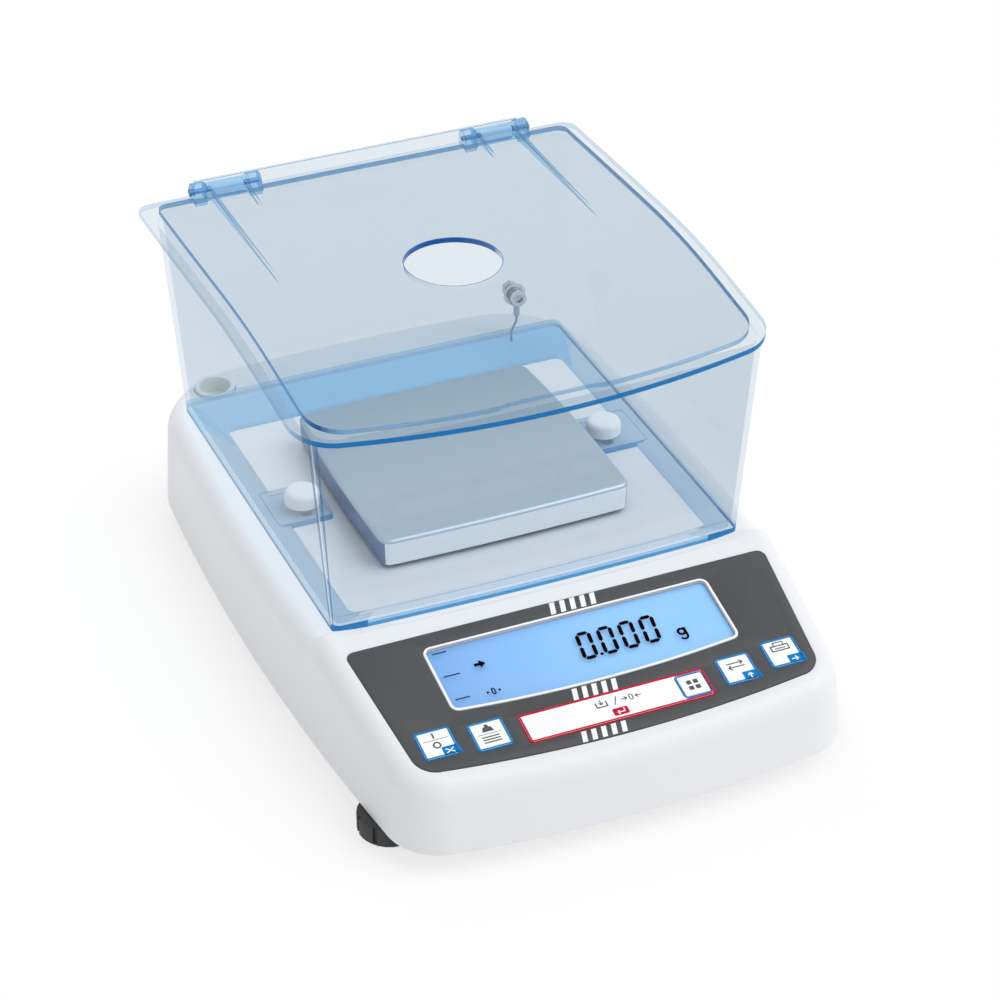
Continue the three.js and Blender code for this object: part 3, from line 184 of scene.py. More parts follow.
def copied(node, flat=0.3):
    """A copy of a CAD piece as one closed surface, its flat faces whole"""
    piece = bpy.data.objects.new(node + "_finished", nodes[node].data.copy())
    piece.data.materials.clear()
    scene.collection.objects.link(piece)
    work_on(piece)
    bpy.ops.object.mode_set(mode="EDIT")
    bpy.ops.mesh.select_all(action="SELECT")
    bpy.ops.mesh.remove_doubles(threshold=2e-6)
    bpy.ops.mesh.dissolve_limited(angle_limit=math.radians(flat))
    bpy.ops.object.mode_set(mode="OBJECT")
    return piece


def fitted(piece, body, slot, *replaced):
    """The piece rides on its body and stands for CAD pieces, which are hidden; the slot is not used"""
    if replaced:
        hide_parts(*replaced)
    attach(piece, body)
    return piece


def moulded(name, colour, roughness, grain=0.5, relief=0.04, unevenness=0.03, gloss=0.5):
    """A moulded plastic: the fine grain of the tool in its gloss, and a slight drift of its tone"""
    material, tree = new_material(name)
    place = add(tree, "ShaderNodeTexCoord").outputs["Object"]
    pits = add(tree, "ShaderNodeTexNoise", {"Vector": place, "Scale": 1 / (grain * MM), "Detail": 3.0})
    drift = add(tree, "ShaderNodeTexNoise", {"Vector": place, "Scale": 1 / (35 * MM), "Detail": 2.0})
    tone = linear(colour)
    deeper = [c * (1 - unevenness) for c in tone[:3]] + [1]
    blend = add(tree, "ShaderNodeMix", {0: drift.outputs[0], 6: deeper, 7: tone}, data_type="RGBA")
    sheen = add(tree, "ShaderNodeMapRange", {0: pits.outputs[0], 3: roughness - 0.05, 4: roughness + 0.05})
    bumps = add(tree, "ShaderNodeBump", {
        "Height": pits.outputs[0], "Strength": relief, "Distance": 0.1 * MM})
    surface = add(tree, "ShaderNodeBsdfPrincipled", {
        "Base Color": blend.outputs[2], "Roughness": sheen.outputs[0], "Normal": bumps.outputs[0],
        "Specular IOR Level": gloss})
    add(tree, "ShaderNodeOutputMaterial", {"Surface": surface.outputs[0]})
    return material


def metal(name, colour, roughness, grain=(0.3, 0.3, 0.3), relief=0.03, unevenness=0.12, painted_reflection=None):
    """A metal whose working marks have a length along each axis in millimetres. A painted reflection is two
    places along the balance between which the metal is painted in another tone, and that tone."""
    material, tree = new_material(name)
    place = add(tree, "ShaderNodeTexCoord").outputs["Object"]
    stretch = add(tree, "ShaderNodeMapping", {"Vector": place, "Scale": [1 / (c * MM) for c in grain]})
    marks = add(tree, "ShaderNodeTexNoise", {"Vector": stretch.outputs[0], "Scale": 1.0, "Detail": 4.0})
    tone = linear(colour)
    deeper = [c * (1 - unevenness) for c in tone[:3]] + [1]
    blend = add(tree, "ShaderNodeMix", {0: marks.outputs[0], 6: deeper, 7: tone}, data_type="RGBA")
    # A painted reflection: the tone changes between two places along the balance
    if painted_reflection:
        along = add(tree, "ShaderNodeSeparateXYZ", {0: place}).outputs["Y"]
        share = add(tree, "ShaderNodeMapRange", {0: along, 1: painted_reflection[0] * MM, 2: painted_reflection[1] * MM})
        blend = add(tree, "ShaderNodeMix", {0: share.outputs[0], 6: blend.outputs[2], 7: linear(painted_reflection[2])},
                    data_type="RGBA")
    sheen = add(tree, "ShaderNodeMapRange", {0: marks.outputs[0], 3: roughness - 0.07, 4: roughness + 0.07})
    bumps = add(tree, "ShaderNodeBump", {
        "Height": marks.outputs[0], "Strength": relief, "Distance": 0.1 * MM})
    surface = add(tree, "ShaderNodeBsdfPrincipled", {
        "Base Color": blend.outputs[2], "Roughness": sheen.outputs[0], "Normal": bumps.outputs[0],
        "Metallic": 1.0})
    add(tree, "ShaderNodeOutputMaterial", {"Surface": surface.outputs[0]})
    return material


# Glass-filled nylon, moulded: a dull dark grey with a visible grain
foot_nylon = moulded("glass_filled_nylon", "#353637", 0.6, grain=0.6, relief=0.12, unevenness=0.12)
# Free-cutting brass, turned: yellow, with rings left by the tool
turned_brass = metal("turned_brass", "#c3a15c", 0.32, grain=(4, 4, 0.25))

for place in ("front_left", "front_right", "rear_left", "rear_right"):
    wheel = copied(f"foot_{place}")
    wheel.data.materials.append(foot_nylon)
    fitted(softened(wheel, 0.45, 3), f"{place}_foot", "foot_grey", f"foot_{place}")
    insert = copied(f"insert_{place}")
    insert.data.materials.append(turned_brass)
    fitted(softened(insert, 0.3), "housing", "brass", f"insert_{place}")

# Housing base
# The white ABS base plate closes the housing from below, with posts for the main board. Four
# zinc-plated steel screws go up through it into the posts of the top shell.
# ABS, moulded in an eroded tool: nearly white, with a soft gloss and a very fine grain
white_abs = moulded("white_abs", "#e6e7ea", 0.42, grain=0.5, relief=0.05, unevenness=0.02)
# Zinc-plated steel: cool, bright, a little cloudy
zinc_steel = metal("zinc_plated_steel", "#b9bec4", 0.34, grain=(0.8, 0.8, 0.8), unevenness=0.2)

base = copied("housing_base")
base.data.materials.append(white_abs)
fitted(softened(base, 0.4), "housing", "white_plastic", "housing_base")
for number in range(1, 5):
    screw = copied(f"base_screw_{number}")
    screw.data.materials.append(zinc_steel)
    fitted(softened(screw, 0.4), "housing", "steel", f"base_screw_{number}")

# Weigh cell
# An aluminium block with two bores and a slot bends under the load. It stands on a mount at its rear
# end, and carries the load receiver, over a brass stop that limits the travel.
# Wrought aluminium, milled: pale grey, with fine parallel cutter marks
milled_aluminium = metal("milled_aluminium", "#c8cacd", 0.36, grain=(12, 0.4, 0.4))

for node, body, slot, material, edge in (
        ("cell_mount", "housing", "aluminium", milled_aluminium, 0.4),
        ("cell_block", "housing", "aluminium", milled_aluminium, 0.5),
        ("load_receiver", "receiver", "aluminium", milled_aluminium, 0.5),
        ("overload_stop", "housing", "brass", turned_brass, 0.3)):
    part = copied(node)
    part.data.materials.append(material)
    fitted(softened(part, edge), body, slot, node)

# Spindle and pan carrier
# A steel spindle takes the load through the hole in the housing. A milled carrier with two arms sits
# on it, and four black rubber buffers on the arms hold the pan.
# Stainless steel, turned bright
turned_steel = metal("turned_steel", "#c4c7ca", 0.24, grain=(3, 3, 0.25))
# Natural rubber, moulded: matt black
buffer_rubber = moulded("buffer_rubber", "#26272a", 0.8, grain=0.4, relief=0.15, unevenness=0.15)

for node, slot, material, edge in (
        ("spindle", "steel", turned_steel, 0.4), ("pan_carrier", "aluminium", milled_aluminium, 0.5),
        *((f"buffer_{place}", "rubber", buffer_rubber, 0.8)
          for place in ("front_left", "front_right", "rear_left", "rear_right"))):
    part = copied(node)
    part.data.materials.append(material)
    fitted(softened(part, edge), "receiver", slot, node)

# Electronics and ports
# The green main board lies on the base's posts. The power socket is black nylon, and the data port a
# zinc-plated shell with two screw posts; both look out through the rear wall.


def circuit_board(name):
    """Solder mask over copper: green, with lighter right-angled tracks under it"""
    material, tree = new_material(name)
    place = add(tree, "ShaderNodeTexCoord").outputs["Object"]
    tracks = add(tree, "ShaderNodeTexBrick", {
        "Vector": place, "Scale": 1 / (9 * MM), "Color1": linear("#1f5a38"), "Color2": linear("#256a43"),
        "Mortar": linear("#3f8a5c"), "Mortar Size": 0.035})
    surface = add(tree, "ShaderNodeBsdfPrincipled", {"Base Color": tracks.outputs["Color"], "Roughness": 0.35,
                                                     "Coat Weight": 0.3, "Coat Roughness": 0.15})
    add(tree, "ShaderNodeOutputMaterial", {"Surface": surface.outputs[0]})
    return material


solder_mask = circuit_board("green_solder_mask")
# Nylon, moulded: black, with a soft gloss
black_nylon = moulded("black_nylon", "#1f2022", 0.5, grain=0.4, relief=0.08, unevenness=0.1)
for node, slot, material, edge in (
        ("main_board", "board_green", solder_mask, 0.1), ("power_socket", "black_plastic", black_nylon, 0.3),
        ("data_port", "steel", zinc_steel, 0.2)):
    part = copied(node)
    part.data.materials.append(material)
    fitted(softened(part, edge), "housing", slot, node)

# Housing top
# The white ABS top shell, one moulding: bowed drafted sides, a round top edge, and an inclined deck in
# front of a low ridge. Openings for the panel, keys, spindle, knobs, level and plugs are cut in it.


def bowed_outline(half_width, widest_y, side_radius, front, rear, inset=0, steps=(28, 24, 60, 16, 32),
                  side_shares=None):
    """A closed outline with bowed sides and round corners, front and rear each (y, radius, corner).
    It runs from the middle of the rear edge down the left side and back up the right one."""
    side = Vector((side_radius - half_width, widest_y))
    ends = []
    for (y, radius, corner), sign in ((rear, 1), (front, -1)):
        centre = Vector((0, y - sign * radius))
        gap = centre - side
        a, b = side_radius - corner, radius - corner
        along = (a * a - b * b + gap.length_squared) / (2 * gap.length)
        across = math.sqrt(a * a - along * along)
        ahead = gap.normalized()
        places = [side + ahead * along + Vector((-ahead.y, ahead.x)) * offset for offset in (across, -across)]
        ends.append((centre, radius, max(places, key=lambda p: sign * p.y), corner))
    (rear_centre, rear_radius, rear_corner, rear_round), (front_centre, front_radius, front_corner,
                                                         front_round) = ends

    def heading(start, end):
        return math.atan2(end.y - start.y, end.x - start.x) % (2 * math.pi)
    stretches = [
        (rear_centre, rear_radius, math.pi / 2), (rear_corner, rear_round, heading(rear_centre, rear_corner)),
        (side, side_radius, heading(side, rear_corner)),
        (front_corner, front_round, heading(side, front_corner)),
        (front_centre, front_radius, heading(front_centre, front_corner))]
    left = []
    for k, (centre, radius, start) in enumerate(stretches):
        end = stretches[k + 1][2] if k < 4 else 1.5 * math.pi
        shares = side_shares if k == 2 and side_shares else [i / steps[k] for i in range(steps[k])]
        for share in shares:
            angle = start + (end - start) * share
            left.append((centre.x + (radius - inset) * math.cos(angle),
                         centre.y + (radius - inset) * math.sin(angle)))
    left[0] = (0, left[0][1])
    left.append((0, front[0] + inset))
    return left + [(-x, y) for x, y in reversed(left[1:-1])]


def finder(points):
    """The points, ready to be asked for the nearest one"""
    places = KDTree(len(points))
    for i, point in enumerate(points):
        places.insert(point, i)
    places.balance()
    return places


def drawn_skin(name, rings):
    """A skin drawn through closed rings of (x, y, z) points by extruding one edge loop"""
    deselect()
    bpy.ops.mesh.primitive_circle_add(vertices=len(rings[0]), radius=1)
    piece = bpy.context.object
    piece.name = name
    for vertex, point in zip(piece.data.vertices, rings[0]):
        vertex.co = Vector(point) * MM
    for before, ring in zip(rings, rings[1:]):
        bpy.ops.object.mode_set(mode="EDIT")
        bpy.ops.mesh.extrude_edges_move()
        bpy.ops.object.mode_set(mode="OBJECT")
        places = finder([Vector(point) * MM for point in before])
        for vertex in piece.data.vertices:
            if vertex.select:
                vertex.co = Vector(ring[places.find(vertex.co)[1]]) * MM
    return piece


def faced_outwards(piece):
    """The piece with all its faces turned outwards"""
    work_on(piece)
    bpy.ops.object.mode_set(mode="EDIT")
    bpy.ops.mesh.select_all(action="SELECT")
    bpy.ops.mesh.normals_make_consistent(inside=False)
    bpy.ops.object.mode_set(mode="OBJECT")
    return piece


def raised(piece, height):
    """The flat piece drawn up by a height, as a closed plate"""
    work_on(piece)
    bpy.ops.object.mode_set(mode="EDIT")
    bpy.ops.mesh.select_all(action="SELECT")
    bpy.ops.mesh.extrude_region_move(TRANSFORM_OT_translate={"value": (0, 0, height * MM)})
    bpy.ops.object.mode_set(mode="OBJECT")
    return faced_outwards(piece)


def flat_plate(name, outline, low, high):
    """A plate over an outline of (x, y) points, between two heights"""
    deselect()
    bpy.ops.mesh.primitive_circle_add(vertices=len(outline), radius=1, fill_type="NGON")
    piece = bpy.context.object
    piece.name = name
    for vertex, (x, y) in zip(piece.data.vertices, outline):
        vertex.co = Vector((x, y, low)) * MM
    return raised(piece, high - low)


def grid_closed(piece, place, span):
    """The selected open ring closed by a grid of quads, its first corner nearest to a place"""
    work_on(piece)
    bpy.ops.object.mode_set(mode="EDIT")
    form = bmesh.from_edit_mesh(piece.data)
    first = min((v for v in form.verts if v.select), key=lambda v: (v.co - Vector(place) * MM).length)
    form.select_history.clear()
    form.select_history.add(first)
    bmesh.update_edit_mesh(piece.data)
    bpy.ops.mesh.fill_grid(span=span, offset=0)
    bpy.ops.object.mode_set(mode="OBJECT")


def joined(first, *others):
    """Pieces as one object, each with its own closed surface"""
    work_on(first)
    for other in others:
        other.select_set(True)
    bpy.ops.object.join()
    return first


def cut(piece, *cutters):
    """The piece with the cutters taken out of it, one after another"""
    for cutter in cutters:
        modified(piece, "BOOLEAN", operation="DIFFERENCE", object=cutter, solver="EXACT")
        bpy.data.objects.remove(cutter)
    return piece


def rounded_box(x0, x1, y0, y1, corner, steps=6):
    """The outline of a rectangle with round corners"""
    points = []
    for quarter, (x, y) in enumerate(((x1 - corner, y1 - corner), (x0 + corner, y1 - corner),
                                      (x0 + corner, y0 + corner), (x1 - corner, y0 + corner))):
        for i in range(steps + 1):
            angle = math.pi / 2 * (quarter + i / steps)
            points.append((x + corner * math.cos(angle), y + corner * math.sin(angle)))
    return points


def circle(x, y, radius, count=48):
    """A round outline"""
    return [(x + radius * math.cos(2 * math.pi * i / count), y + radius * math.sin(2 * math.pi * i / count))
            for i in range(count)]


foot_z, top_z, wall = 9.3, 55, 3
deck_y, deck_z, deck_slope = -78.3, 57.5, 0.228
ridge_y, ridge_run, ridge_bow = -69, 4.5, 4.9
deck_place = (Matrix.Translation(Vector((0, deck_y, deck_z)) * MM)
              @ Matrix.Rotation(math.atan(deck_slope), 4, "X"))


def smooth_step(t):
    """From 0 to 1 without a crease"""
    s = min(max(t, 0), 1)
    return s * s * (3 - 2 * s)


def housing_height(x, y):
    """Height of the housing's outside: the deck, the ridge's rounded step, and the level top"""
    plane = deck_z + deck_slope * (min(y, ridge_y) - deck_y)
    behind = smooth_step((y - ridge_y - ridge_bow * (x / 110.7) ** 2) / ridge_run)
    return plane + (top_z - plane) * behind


# Points down the side, close together where the ridge crosses
side_shares = sorted({i / 40 for i in range(40)} | {0.775 + 0.0042 * i for i in range(20)})
housing_steps = (28, 24, 0, 16, 32)


def housing_ring(inset, front_lean):
    """The housing's outline at one inset, its front leaning back by more than its sides"""
    return bowed_outline(110.7, 15, 1320, (-165.7 + front_lean, 560, 24), (165.7, 900, 46), inset,
                         housing_steps, side_shares)


draft, front_draft, round_width, round_height, start = 2, 3.9, 8.6, 8.5, math.radians(12)
foot_edge = 0.5
rings = [[(x, y, foot_z) for x, y in housing_ring(foot_edge, 0)],
         [(x, y, foot_z + foot_edge) for x, y in housing_ring(0, 0)]]
crest = [housing_height(x, y) for x, y in housing_ring(draft + round_width, front_draft - draft)]
for level_share in (0.25, 0.5, 0.75):
    ring = housing_ring(draft * level_share, (front_draft - draft) * level_share)
    rings.append([(x, y, foot_z + (crest[i] - round_height - foot_z) * level_share)
                  for i, (x, y) in enumerate(ring)])
crease_ring = len(rings)
for j in range(13):
    turn = start + (math.pi / 2 - start) * j / 12
    ring = housing_ring(draft + round_width * (1 - math.cos(turn) / math.cos(start)), front_draft - draft)
    drop = round_height * (1 - math.sin(turn)) / (1 - math.sin(start))
    rings.append([(x, y, crest[i] - drop) for i, (x, y) in enumerate(ring)])
shell = drawn_skin("housing_top_shell", rings)

# The last ring is closed by a grid of faces with its corners at the round corners, then laid on the form
grid_closed(shell, rings[-1][housing_steps[0] + housing_steps[1] // 2], len(rings[0]) // 4)
for vertex in shell.data.vertices:
    if vertex.select:
        vertex.co.z = housing_height(vertex.co.x / MM, vertex.co.y / MM) * MM
modified(faced_outwards(shell), "SOLIDIFY", thickness=wall * MM, offset=-1, use_even_offset=True)

# Openings, in the deck's own plane and straight down
overlay_form = dict(top_half=95.9, low_half=89.5, top=0, corner=68.5, low=75.1, top_round=4, low_round=9)
screen_form = dict(top_half=65, low_half=65, top=7.2, corner=42.4, low=46, top_round=3.8, low_round=3.8)


def panel_outline(form, grow=0, steps=8, bottom_steps=24):
    """An outline with a straight top edge, slanted sides and a bowed bottom edge, in the deck's plane"""
    top_half, low_half, top, corner, low = (form[k] for k in ("top_half", "low_half", "top", "corner", "low"))

    def side(down):
        return top_half + grow + (low_half - top_half) * (down - top) / (corner - top)
    low_x = side(corner)

    def bottom(x):
        return low + grow - (low - corner) * (x / low_x) ** 2
    top_round, low_round = form["top_round"] + grow, form["low_round"] + grow
    right = []
    for i in range(steps + 1):
        angle = math.pi / 2 * (1 - i / steps)
        down = top - grow + top_round * (1 - math.sin(angle))
        right.append((side(down) - top_round * (1 - math.cos(angle)), -down))
    for i in range(steps + 1):
        angle = math.pi / 2 * i / steps
        down = bottom(low_x - low_round) - low_round * (1 - math.sin(angle))
        right.append((side(down) - low_round * (1 - math.cos(angle)), -down))
    for i in range(1, bottom_steps):
        x = (low_x - low_round) * (1 - i / bottom_steps)
        right.append((x, -bottom(x)))
    return right + [(0, -bottom(0))] + [(-x, y) for x, y in reversed(right)]


def on_deck(piece):
    """The piece laid from level ground on to the deck's plane"""
    piece.data.transform(deck_place)
    return piece


square_keys = (("key_on_off", "on_off_key", -77.6, 56.2), ("key_menu", "menu_key", -55.6, 58.6),
               ("key_unit", "unit_key", 55.6, 58.6), ("key_print", "print_key", 77.6, 56.2))
key_half, key_tall, tare_half, tare_tall, tare_down = 7.4, 7.1, 41.3, 7.3, 60.7
mode_half, mode_tall, mode_x = 5.8, 5.6, 34.4
tare_place, mode_place = (0, tare_down, tare_half, tare_tall), (mode_x, tare_down, mode_half, mode_tall)


def key_outline(x, down, half, tall, grow=0):
    """A key's outline in the deck's plane"""
    return rounded_box(x - half - grow, x + half + grow, -down - tall - grow, -down + tall + grow,
                       1 + grow, 4)


pan_y, knob_x, knob_y = 28.6, 72.4, 33
level_x, level_y = -75, 142.4
wire_x, wire_y = 68.4, 127.7
socket_x, port_x, plug_z = -34, 6, 26
cutters = [
    on_deck(flat_plate("panel_recess", panel_outline(overlay_form, 0.3), -1, 3)),
    on_deck(flat_plate("screen_opening", panel_outline(screen_form, -1), -6, 3)),
    *(on_deck(flat_plate("key_opening", key_outline(x, down, key_half, key_tall, 0.3), -6, 3))
      for name, body, x, down in square_keys),
    on_deck(flat_plate("tare_opening", key_outline(*tare_place, 0.3), -6, 3)),
    flat_plate("spindle_hole", circle(0, pan_y, 12), 48, 60),
    *(flat_plate("knob_slot", rounded_box(x - 2.6, x + 2.6, knob_y - 6.8, knob_y + 6.8, 2.3), 48, 60)
      for x in (-knob_x, knob_x)),
    flat_plate("level_hole", circle(level_x, level_y, 9.7, 64), 46, 60),
    flat_plate("wire_hole", circle(wire_x, wire_y, 0.9, 24), 48, 60),
]
rear_cutters = [
    flat_plate("socket_hole", circle(socket_x, plug_z, 4.1), -172, -150),
    flat_plate("plug_hole", rounded_box(port_x - 8.8, port_x + 8.8, plug_z - 4.3, plug_z + 4.3, 0.8),
               -172, -150),
    *(flat_plate("post_hole", circle(port_x + side * 12.5, plug_z, 2.5, 32), -172, -150)
      for side in (-1, 1)),
]
for cutter in rear_cutters:
    cutter.data.transform(Matrix.Rotation(math.pi / 2, 4, "X"))
cut(shell, *cutters, *rear_cutters)
shell.data.materials.append(white_abs)
smoothed(shell, 30)
# A fine crease runs round the housing where its top edge starts to turn over
crease = finder([Vector(point) * MM for point in rings[crease_ring]])
on_crease = [crease.find(vertex.co)[2] < 0.02 * MM for vertex in shell.data.vertices]
for edge in shell.data.edges:
    if all(on_crease[i] for i in edge.vertices):
        edge.use_edge_sharp = True
fitted(shell, "housing", "white_plastic", "housing_top")

# Key board and display
# Under the deck lie the key board with its six switches and the display: a lit white frame that holds
# the liquid crystal glass. A clear window of moulded acrylic, set flush in the panel, covers it.
# Liquid crystal glass lit from behind: light blue, a little deeper towards its left end
display_glass, tree = new_material("lit_display_glass")
place = add(tree, "ShaderNodeTexCoord").outputs["Object"]
across = add(tree, "ShaderNodeSeparateXYZ", {0: place}).outputs["X"]
share = add(tree, "ShaderNodeMapRange", {0: across, 1: -0.062, 2: 0.01})
cells = add(tree, "ShaderNodeTexNoise", {"Vector": place, "Scale": 1 / (0.4 * MM), "Detail": 1.0})
tone = add(tree, "ShaderNodeMix", {0: share.outputs[0], 6: linear("#8dbbef"), 7: linear("#9dd2fe")},
           data_type="RGBA")
depth = add(tree, "ShaderNodeMapRange", {0: cells.outputs[0], 3: 0.28, 4: 0.36})
surface = add(tree, "ShaderNodeBsdfPrincipled", {"Base Color": tone.outputs[2], "Roughness": depth.outputs[0],
                                                 "Specular IOR Level": 0.2})
add(tree, "ShaderNodeOutputMaterial", {"Surface": surface.outputs[0]})


def clear_window(name, tint, ior, shine=1.0, roughness=0.03):
    """Clear plastic: each face lets most light through with a slight tint, and its outside reflects"""
    material, tree = new_material(name)
    through = add(tree, "ShaderNodeBsdfTransparent", {"Color": linear(tint)})
    gloss = add(tree, "ShaderNodeBsdfGlossy", {"Color": linear("#ffffff"), "Roughness": roughness})
    strength = add(tree, "ShaderNodeFresnel", {"IOR": ior})
    side = add(tree, "ShaderNodeNewGeometry")
    front = add(tree, "ShaderNodeMapRange", {0: side.outputs["Backfacing"], 3: shine, 4: 0.0})
    share = add(tree, "ShaderNodeMath", {0: strength.outputs[0], 1: front.outputs[0]}, operation="MULTIPLY")
    mixed = add(tree, "ShaderNodeMixShader", {
        0: share.outputs[0], 1: through.outputs[0], 2: gloss.outputs[0]})
    add(tree, "ShaderNodeOutputMaterial", {"Surface": mixed.outputs[0]})
    return material


window_acrylic = clear_window("window_acrylic", "#fcfdff", 1.35, 0.15)
for node, slot, material, edge in (
        ("key_board", "board_green", solder_mask, 0.2),
        ("display_backlight", "white_plastic", white_abs, 0.3),
        ("display_glass", "screen_blue", display_glass, 0.15)):
    part = copied(node)
    part.data.materials.append(material)
    fitted(softened(part, edge), "housing", slot, node)

window = on_deck(flat_plate("display_window_pane", panel_outline(screen_form), -0.7, 0.3))
window.data.materials.append(window_acrylic)
fitted(softened(window, 0.12), "housing", "window_clear", "display_window")

# Control panel
# A dark grey polyester film on a stiff sheet, glued into the deck's recess, with the keys' openings
# punched in it. White stripes of even width and the frames of the keys are screen-printed on it.
# Polyester film with a fine matt texture
panel_film = moulded("matt_polyester_film", "#3f4042", 0.5, grain=0.3, relief=0.04, unevenness=0.03)
# Screen-printing inks: flat, opaque, slightly raised
white_ink = moulded("white_printing_ink", "#f4f5f6", 0.5, grain=0.25, relief=0.02, unevenness=0.01)
blue_ink = moulded("blue_printing_ink", "#0080c6", 0.6, 0.25, 0.02, gloss=0.1)
red_ink = moulded("red_printing_ink", "#c80f33", 0.6, 0.25, 0.02, gloss=0.1)
grey_ink = moulded("grey_printing_ink", "#4b4c4f", 0.5, 0.25, 0.02)

panel = flat_plate("control_panel_sheet", panel_outline(overlay_form), -0.7, 0.3)
cut(panel,
    flat_plate("opening", panel_outline(screen_form, 0.3), -2, 2),
    *(flat_plate("opening", key_outline(x, down, key_half, key_tall, 0.12), -2, 2)
      for name, body, x, down in square_keys),
    flat_plate("opening", key_outline(*tare_place, 0.12), -2, 2))
panel.data.materials.append(panel_film)
fitted(on_deck(softened(panel, 0.05)), "housing", "panel_grey", "control_panel")

panel_top, ink = 0.3, 0.04


def printed(name, shapes, height, material, body, slot):
    """Ink on the deck's pieces: flat shapes of one colour, at a height above the deck's plane"""
    layers = [flat_plate(name, shape, height, height + ink) for shape in shapes]
    piece = on_deck(joined(*layers))
    piece.name = name
    piece.data.materials.append(material)
    return fitted(piece, body, slot)


def frame_plate(name, outer, inner, low, high):
    """A flat frame between two outlines with as many points each"""
    deselect()
    bpy.ops.mesh.primitive_circle_add(vertices=len(outer), radius=1)
    piece = bpy.context.object
    piece.name = name
    bpy.ops.object.mode_set(mode="EDIT")
    bpy.ops.mesh.extrude_edges_move()
    bpy.ops.object.mode_set(mode="OBJECT")
    vertices = list(piece.data.vertices)
    partners = finder([vertex.co for vertex in vertices[:len(outer)]])
    for vertex in vertices[len(outer):]:
        x, y = inner[partners.find(vertex.co)[1]]
        vertex.co = Vector((x, y, low)) * MM
    for vertex, (x, y) in zip(vertices, outer):
        vertex.co = Vector((x, y, low)) * MM
    return raised(piece, high - low)


def printed_frame(name, outer, inner, height, material, body, slot):
    """An ink line between two outlines, at a height above the deck's plane"""
    piece = on_deck(frame_plate(name, outer, inner, height, height + ink))
    piece.data.materials.append(material)
    fitted(piece, body, slot)


def key_frame(name, key_place, outer, inner, height, material, body, slot):
    """An ink line round a key, between two distances from its edge"""
    printed_frame(name, key_outline(*key_place, outer), key_outline(*key_place, inner), height, material,
                  body, slot)


def slanted_stripes(left, top, low, width, count, slant):
    """Even stripes that lean to the right, as shapes"""
    shapes = []
    for i in range(count):
        x = left + 2 * width * i
        shapes.append([(x, -low), (x + width, -low), (x + width + slant, -top), (x + slant, -top)])
    return shapes


for name, left, top, low, width, lean in (
        ("stripes_above_display", -5.9, 0.3, 6.5, 2.3, 1.5),
        ("stripes_under_display", -15.9, 46.9, 52.8, 2.2, 1.4),
        ("stripes_under_tare_key", -21.3, 69, 74.4, 2.2, 1.3)):
    printed(name, slanted_stripes(left, top, low, width, 5, lean), panel_top, white_ink, "housing",
            "panel_grey")
printed_frame("display_outline", panel_outline(screen_form, -0.02), panel_outline(screen_form, -1.05),
              panel_top, white_ink, "housing", "window_clear")
for name, body, x, down in square_keys:
    key_frame(name + "_frame", (x, down, key_half, key_tall), 0.42, 0.17, panel_top, blue_ink, "housing",
              "panel_grey")
key_frame("key_tare_frame", tare_place, 0.42, 0.17, panel_top, red_ink, "housing", "panel_grey")


def thick_line(points, width):
    """Shapes of one width along straight lines"""
    shapes = []
    for (x0, y0), (x1, y1) in zip(points, points[1:]):
        along = Vector((x1 - x0, y1 - y0))
        across = Vector((-along.y, along.x)).normalized() * width / 2
        ends = along.normalized() * width / 2
        a, b = Vector((x0, y0)) - ends * 0.6, Vector((x1, y1)) + ends * 0.6
        shapes.append([tuple(a - across), tuple(b - across), tuple(b + across), tuple(a + across)])
    return shapes


def arc(x, y, radius, start, end, width, count=20):
    """Shapes of one width along part of a circle, from one angle to another in degrees"""
    turns = [math.radians(start + (end - start) * i / count) for i in range(count + 1)]
    outer = [(x + (radius + width / 2) * math.cos(t), y + (radius + width / 2) * math.sin(t)) for t in turns]
    inner = [(x + (radius - width / 2) * math.cos(t), y + (radius - width / 2) * math.sin(t)) for t in turns]
    return [outer + inner[::-1]]


def arrow(x0, y0, x1, y1, width, head):
    """A straight arrow with an open head, as shapes"""
    along = Vector((x1 - x0, y1 - y0)).normalized()
    across = Vector((-along.y, along.x))
    tip = Vector((x1, y1))
    back = tip - along * head
    return (thick_line([(x0, y0), (x1, y1)], width)
            + thick_line([tuple(back + across * head), tuple(tip), tuple(back - across * head)], width))


# The display
# What the lit glass shows: slanted seven-segment zeros, a unit sign, an arrow, a zero sign and three
# ticks. They are thin dark shapes in the window's plane, a hair under its top, and cast no shadow.
# Liquid crystal that is switched on: nearly black, quite dull; the ticks are printed in dark blue
black_ink = moulded("display_segment_black", "#08090c", 0.9, 0.25, 0.02, unevenness=0.02, gloss=0.0)
tick_ink = moulded("display_tick_blue", "#1f3a62", 0.9, 0.25, 0.02, unevenness=0.02, gloss=0.0)
slant = math.tan(math.radians(6))


def leaning(points, foot):
    """Points that lean to the right from their foot"""
    return [(x + (y - foot) * slant, y) for x, y in points]


def segment(x0, y0, x1, y1, thick):
    """A bar with pointed ends between two places"""
    along = Vector((x1 - x0, y1 - y0)).normalized()
    across = Vector((-along.y, along.x)) * thick / 2
    a, b = Vector((x0, y0)), Vector((x1, y1))
    half = along * thick / 2
    return [tuple(a), tuple(a + half - across), tuple(b - half - across), tuple(b), tuple(b - half + across),
            tuple(a + half + across)]


